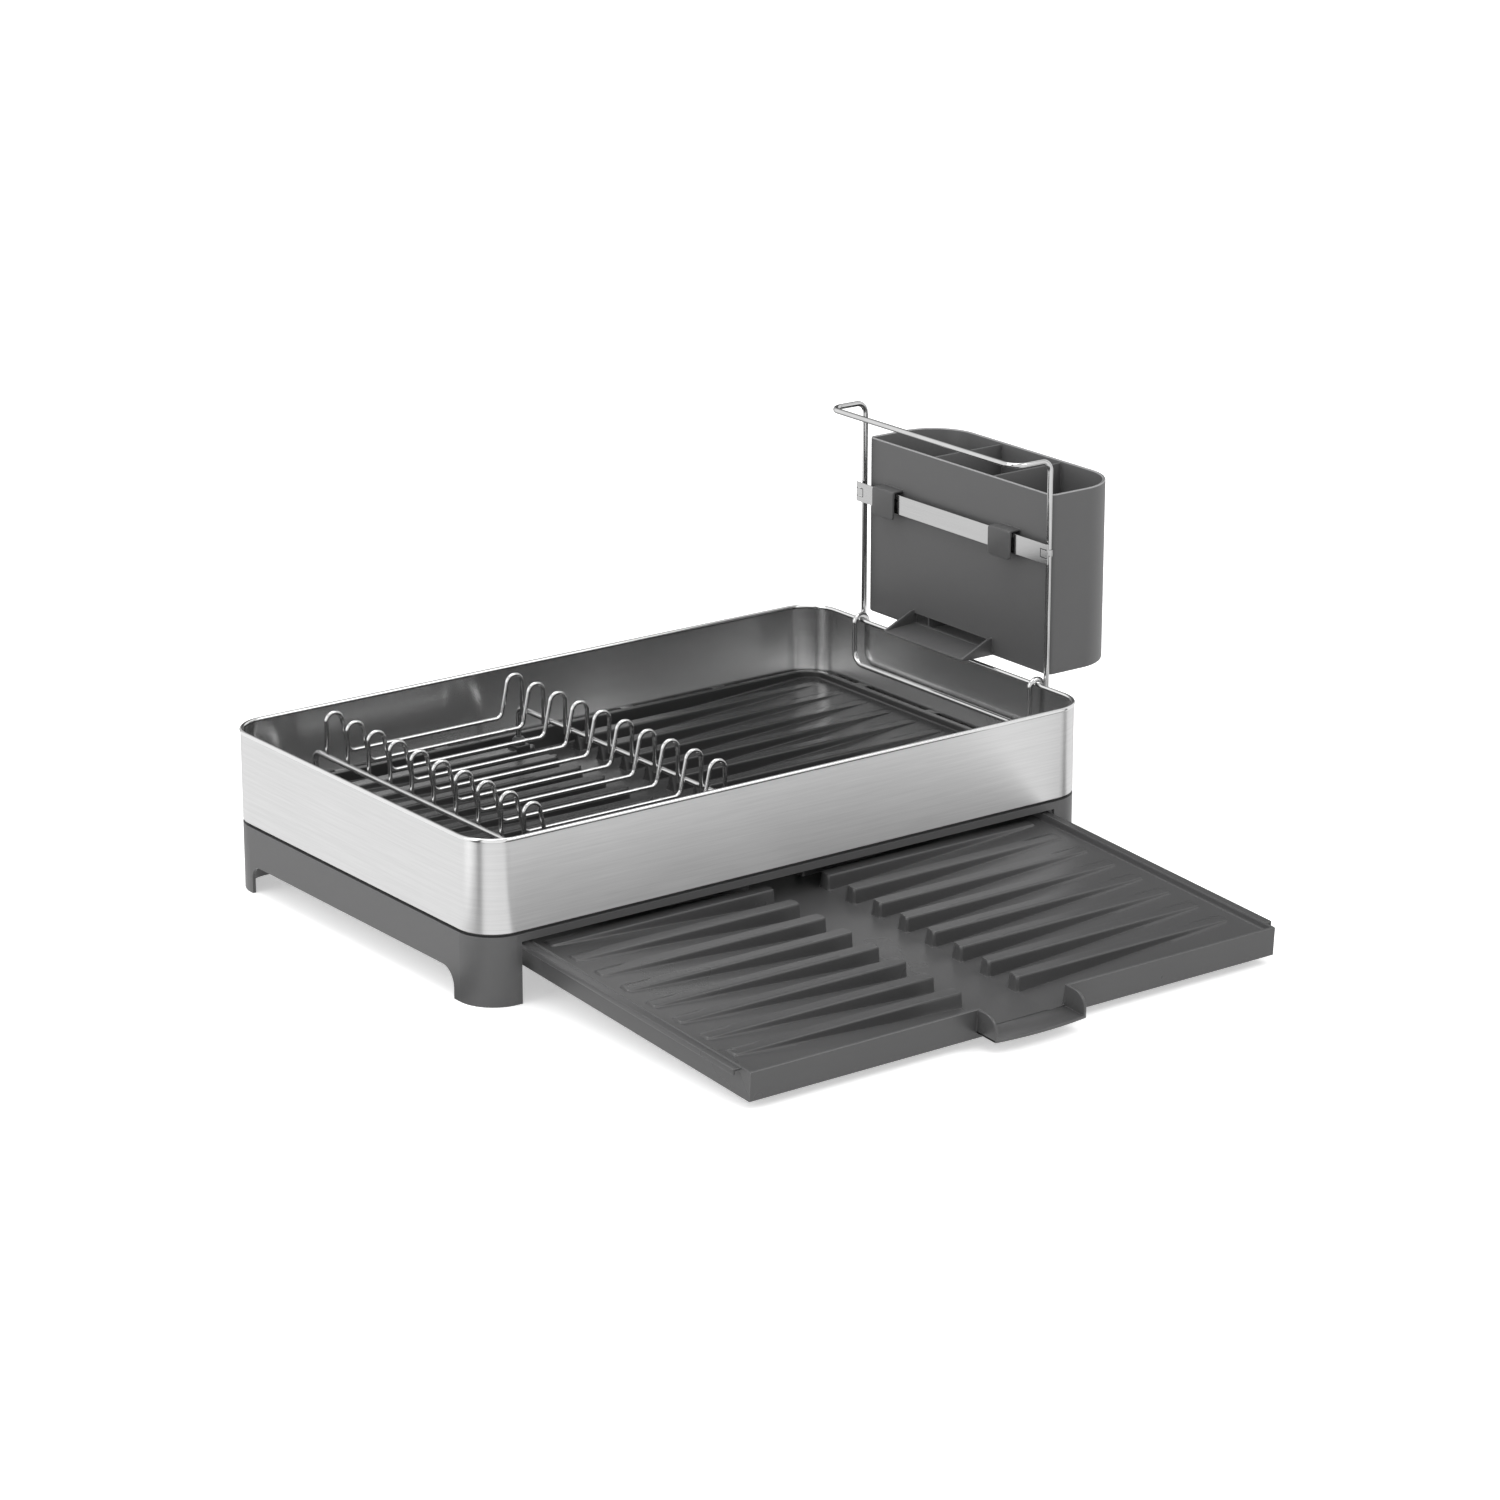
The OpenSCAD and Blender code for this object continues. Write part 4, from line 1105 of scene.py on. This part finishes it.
for clip_y in (74.1, -58.9):
    face_plan = []
    for sy, sz, start in ((1, 1, 0), (-1, 1, 90), (-1, -1, 180), (1, -1, 270)):
        for dy, dz in arc(sy * half_w, sz * half_h, CLIP_R, start, start + 90, 6):
            face_plan.append((CLIP_X0, clip_y + dy, (CLIP_Z0 + CLIP_Z1) / 2 + dz))
    holder_parts.append(soft_prism(face_plan, (CLIP_T, 0, 0), 0.6, 3))
    arm_low = clip_y - CLIP_W / 2 + 0.6
    holder_parts.append(soft_prism([(x, arm_low, z) for x, z in arm], (0, CLIP_W - 1.2, 0), 0.6))
CHUTE_W, CHUTE_WALL = 91.0, 2.0
CHUTE_Y0 = CHUTE_Y - CHUTE_W / 2
chute_under = [(235, 119.8), (238, HOLDER_Z0), (263.5, HOLDER_Z0)]
chute_floor = [*chute_under, (263.5, 122.95), (235, 121.06)]
chute_cheek = [*chute_under, (263.5, 132.3), (259.5, 132.3), (235, 121.4)]
holder_parts.append(soft_prism([(x, CHUTE_Y0 + 0.5, z) for x, z in chute_floor], (0, CHUTE_W - 1, 0), 0.3))
for start_y in (CHUTE_Y0, CHUTE_Y0 + CHUTE_W - CHUTE_WALL):
    holder_parts.append(soft_prism([(x, start_y, z) for x, z in chute_cheek], (0, CHUTE_WALL, 0), 0.5))
holder_verts, holder_faces = join(holder_parts)
holder = add_piece(
    "holder", holder_verts, holder_faces, holder_plastic, "holder", ["cutlery_holder"]
)
# The rounded top edges of the wall take the lighter copy: a painted highlight along the rim.
holder.data.materials.append(holder_rim_painted_highlight)
for polygon in holder.data.polygons:
    if polygon.center.z > (HOLDER_Z1 - EDGE_R) * MM and 0.1 < polygon.normal.z < 0.999:
        polygon.material_index = 1

# %% [markdown]
# ## Carried-over solids
# The base, the strip and the caps already have the right shape. A weld joins the points that the
# file format split, and a narrow bevel takes the knife edge off each corner.

# %% Soften the exact solids
CARRIED = {"base_frame": (base_plastic, 0.5), "hanger_strip": (strip_steel, 0.15)}
CARRIED.update({f"rack_foot_{number}": (cap_plastic, 0.3) for number in range(1, 5)})
for node_name, (finish, bevel_width) in CARRIED.items():
    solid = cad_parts[node_name]
    solid.data.materials.clear()
    solid.data.materials.append(finish)
    weld = solid.modifiers.new("weld", "WELD")
    weld.merge_threshold = 0.00001
    bevel = solid.modifiers.new("bevel", "BEVEL")
    bevel.width = bevel_width * MM
    bevel.segments = 2
    bevel.limit_method = "ANGLE"
    bevel.angle_limit = math.radians(35)
    print(node_name, "keeps its solid, softened by", bevel_width, "mm")

# %% [markdown]
# ## Studio
# A pale floor and an even white sky keep the background plain. Steel and chrome show what they
# face, so the surroundings that they see have a few dark bands between bright ones, as the flags
# and soft boxes of a studio give. The camera sees the sky as plain white, and the floor gives off
# a little light to it, so that the two meet without a line.

# %% Studio bands
# Degrees from straight right, counter-clockwise, and the brightness there.
BRIGHTNESS = [
    (-180, 1.15), (-164, 1.15), (-160, 0.10), (-154, 0.10), (-150, 1.15), (-100, 1.05), (-45, 1.05),
    (-36, 1.05), (-33, 0.12), (-29, 0.12), (-26, 1.05), (20, 1.00), (30, 0.10), (60, 0.10), (70, 0.60),
    (92, 0.60), (102, 1.15), (180, 1.15),
]
bands, bands_in, bands_out = new_group("StudioBands", [("Vector", "vector", None)], [("Level", "colour")])
split = node(bands, "ShaderNodeSeparateXYZ")
link(bands, bands_in.outputs["Vector"], split.inputs[0])
heading_angle = node(bands, "ShaderNodeMath", operation="ARCTAN2")
link(bands, split.outputs["Y"], heading_angle.inputs[0])
link(bands, split.outputs["X"], heading_angle.inputs[1])
turn = node(bands, "ShaderNodeMapRange", From_Min=-math.pi, From_Max=math.pi)
link(bands, heading_angle.outputs["Value"], turn.inputs["Value"])
band_ramp = node(bands, "ShaderNodeValToRGB")
stops = band_ramp.color_ramp.elements
for degrees, level in BRIGHTNESS[1:-1]:
    stops.new((degrees + 180) / 360).color = (level, level, level, 1)
stops[0].color = (*[BRIGHTNESS[0][1]] * 3, 1)
stops[-1].color = (*[BRIGHTNESS[-1][1]] * 3, 1)
link(bands, turn.outputs["Result"], band_ramp.inputs["Fac"])
link(bands, band_ramp.outputs["Color"], bands_out.inputs["Level"])
print("group", bands.name, "with", len(stops), "stops")

# %% Floor
FLOOR_HALF = 6.0
floor_mesh = bpy.data.meshes.new("floor")
corners = [(-1, -1), (1, -1), (1, 1), (-1, 1)]
floor_mesh.from_pydata([(x * FLOOR_HALF, y * FLOOR_HALF, 0) for x, y in corners], [], [(0, 1, 2, 3)])
floor = bpy.data.objects.new("floor", floor_mesh)
bpy.context.scene.collection.objects.link(floor)
floor_paint, floor_tree, floor_shader = new_material("floor_paint", Roughness=0.9, Specular_IOR_Level=0.1)
floor_shader.inputs["Base Color"].default_value = (0.94, 0.94, 0.94, 1)
floor_shader.inputs["Emission Color"].default_value = (1, 1, 1, 1)
floor_ray = node(floor_tree, "ShaderNodeLightPath")
lift = node(floor_tree, "ShaderNodeMath", operation="MULTIPLY")
lift.inputs[1].default_value = 0.45
link(floor_tree, floor_ray.outputs["Is Camera Ray"], lift.inputs[0])
link(floor_tree, lift.outputs["Value"], floor_shader.inputs["Emission Strength"])
floor_where = node(floor_tree, "ShaderNodeTexCoord")
from_middle = node(floor_tree, "ShaderNodeVectorMath", operation="SUBTRACT")
from_middle.inputs[1].default_value = (BAND_CENTRE.x, BAND_CENTRE.y, 0)
link(floor_tree, floor_where.outputs["Object"], from_middle.inputs[0])
floor_bands = use_group(floor_tree, bands)
link(floor_tree, from_middle.outputs["Vector"], floor_bands.inputs["Vector"])
mirrored_floor = node(floor_tree, "ShaderNodeEmission")
link(floor_tree, floor_bands.outputs["Level"], mirrored_floor.inputs["Color"])
either = node(floor_tree, "ShaderNodeMixShader")
link(floor_tree, floor_ray.outputs["Is Glossy Ray"], either.inputs[0])
link(floor_tree, floor_shader.outputs["BSDF"], either.inputs[1])
link(floor_tree, mirrored_floor.outputs["Emission"], either.inputs[2])
link(floor_tree, either.outputs["Shader"], floor_tree.nodes["Material Output"].inputs["Surface"])
floor_mesh.materials.append(floor_paint)
print("floor", FLOOR_HALF * 2, "m square")

# %% Sky
world = bpy.data.worlds.new("studio")
bpy.context.scene.world = world
world.use_nodes = True
sky = world.node_tree
background = sky.nodes["Background"]
sky_where = node(sky, "ShaderNodeTexCoord")
sky_bands = use_group(sky, bands)
link(sky, sky_where.outputs["Generated"], sky_bands.inputs["Vector"])
sky_split = node(sky, "ShaderNodeSeparateXYZ")
link(sky, sky_where.outputs["Generated"], sky_split.inputs[0])
height = node(sky, "ShaderNodeMapRange", interpolation_type="SMOOTHSTEP", From_Min=0.55, From_Max=0.85)
link(sky, sky_split.outputs["Z"], height.inputs["Value"])
roof = mix_colours(sky, height.outputs["Result"], sky_bands.outputs["Level"], (0.9,) * 3)
ray = node(sky, "ShaderNodeLightPath")
backdrop = mix_colours(sky, ray.outputs["Is Camera Ray"], roof, (1.2,) * 3)
link(sky, backdrop, background.inputs["Color"])
print("sky ready")


# %% Lamps
def soft_box(name, at, aim, width, height, power):
    """A rectangular lamp of that many watts, at one point and aimed at another."""
    data = bpy.data.lights.new(name, "AREA")
    data.shape = "RECTANGLE"
    data.size, data.size_y = width, height
    data.energy = power
    lamp = bpy.data.objects.new(name, data)
    bpy.context.scene.collection.objects.link(lamp)
    lamp.location = at
    lamp.rotation_mode = "QUATERNION"
    lamp.rotation_quaternion = (Vector(aim) - Vector(at)).to_track_quat("-Z", "Y")
    return lamp


middle = (cad_low + cad_high) / 2
LAMPS = [
    ("overhead", (-0.2, 0.3, 1.9), 1.8, 1.4, 20),
    ("left", (-2.0, 0.2, 1.0), 1.2, 1.4, 8),
    ("front", (1.0, -1.6, 1.9), 1.4, 1.0, 12),
]
for lamp_name, offset, lamp_width, lamp_height, watts in LAMPS:
    soft_box(lamp_name, middle + Vector(offset), middle, lamp_width, lamp_height, watts)
print("lamps ready")
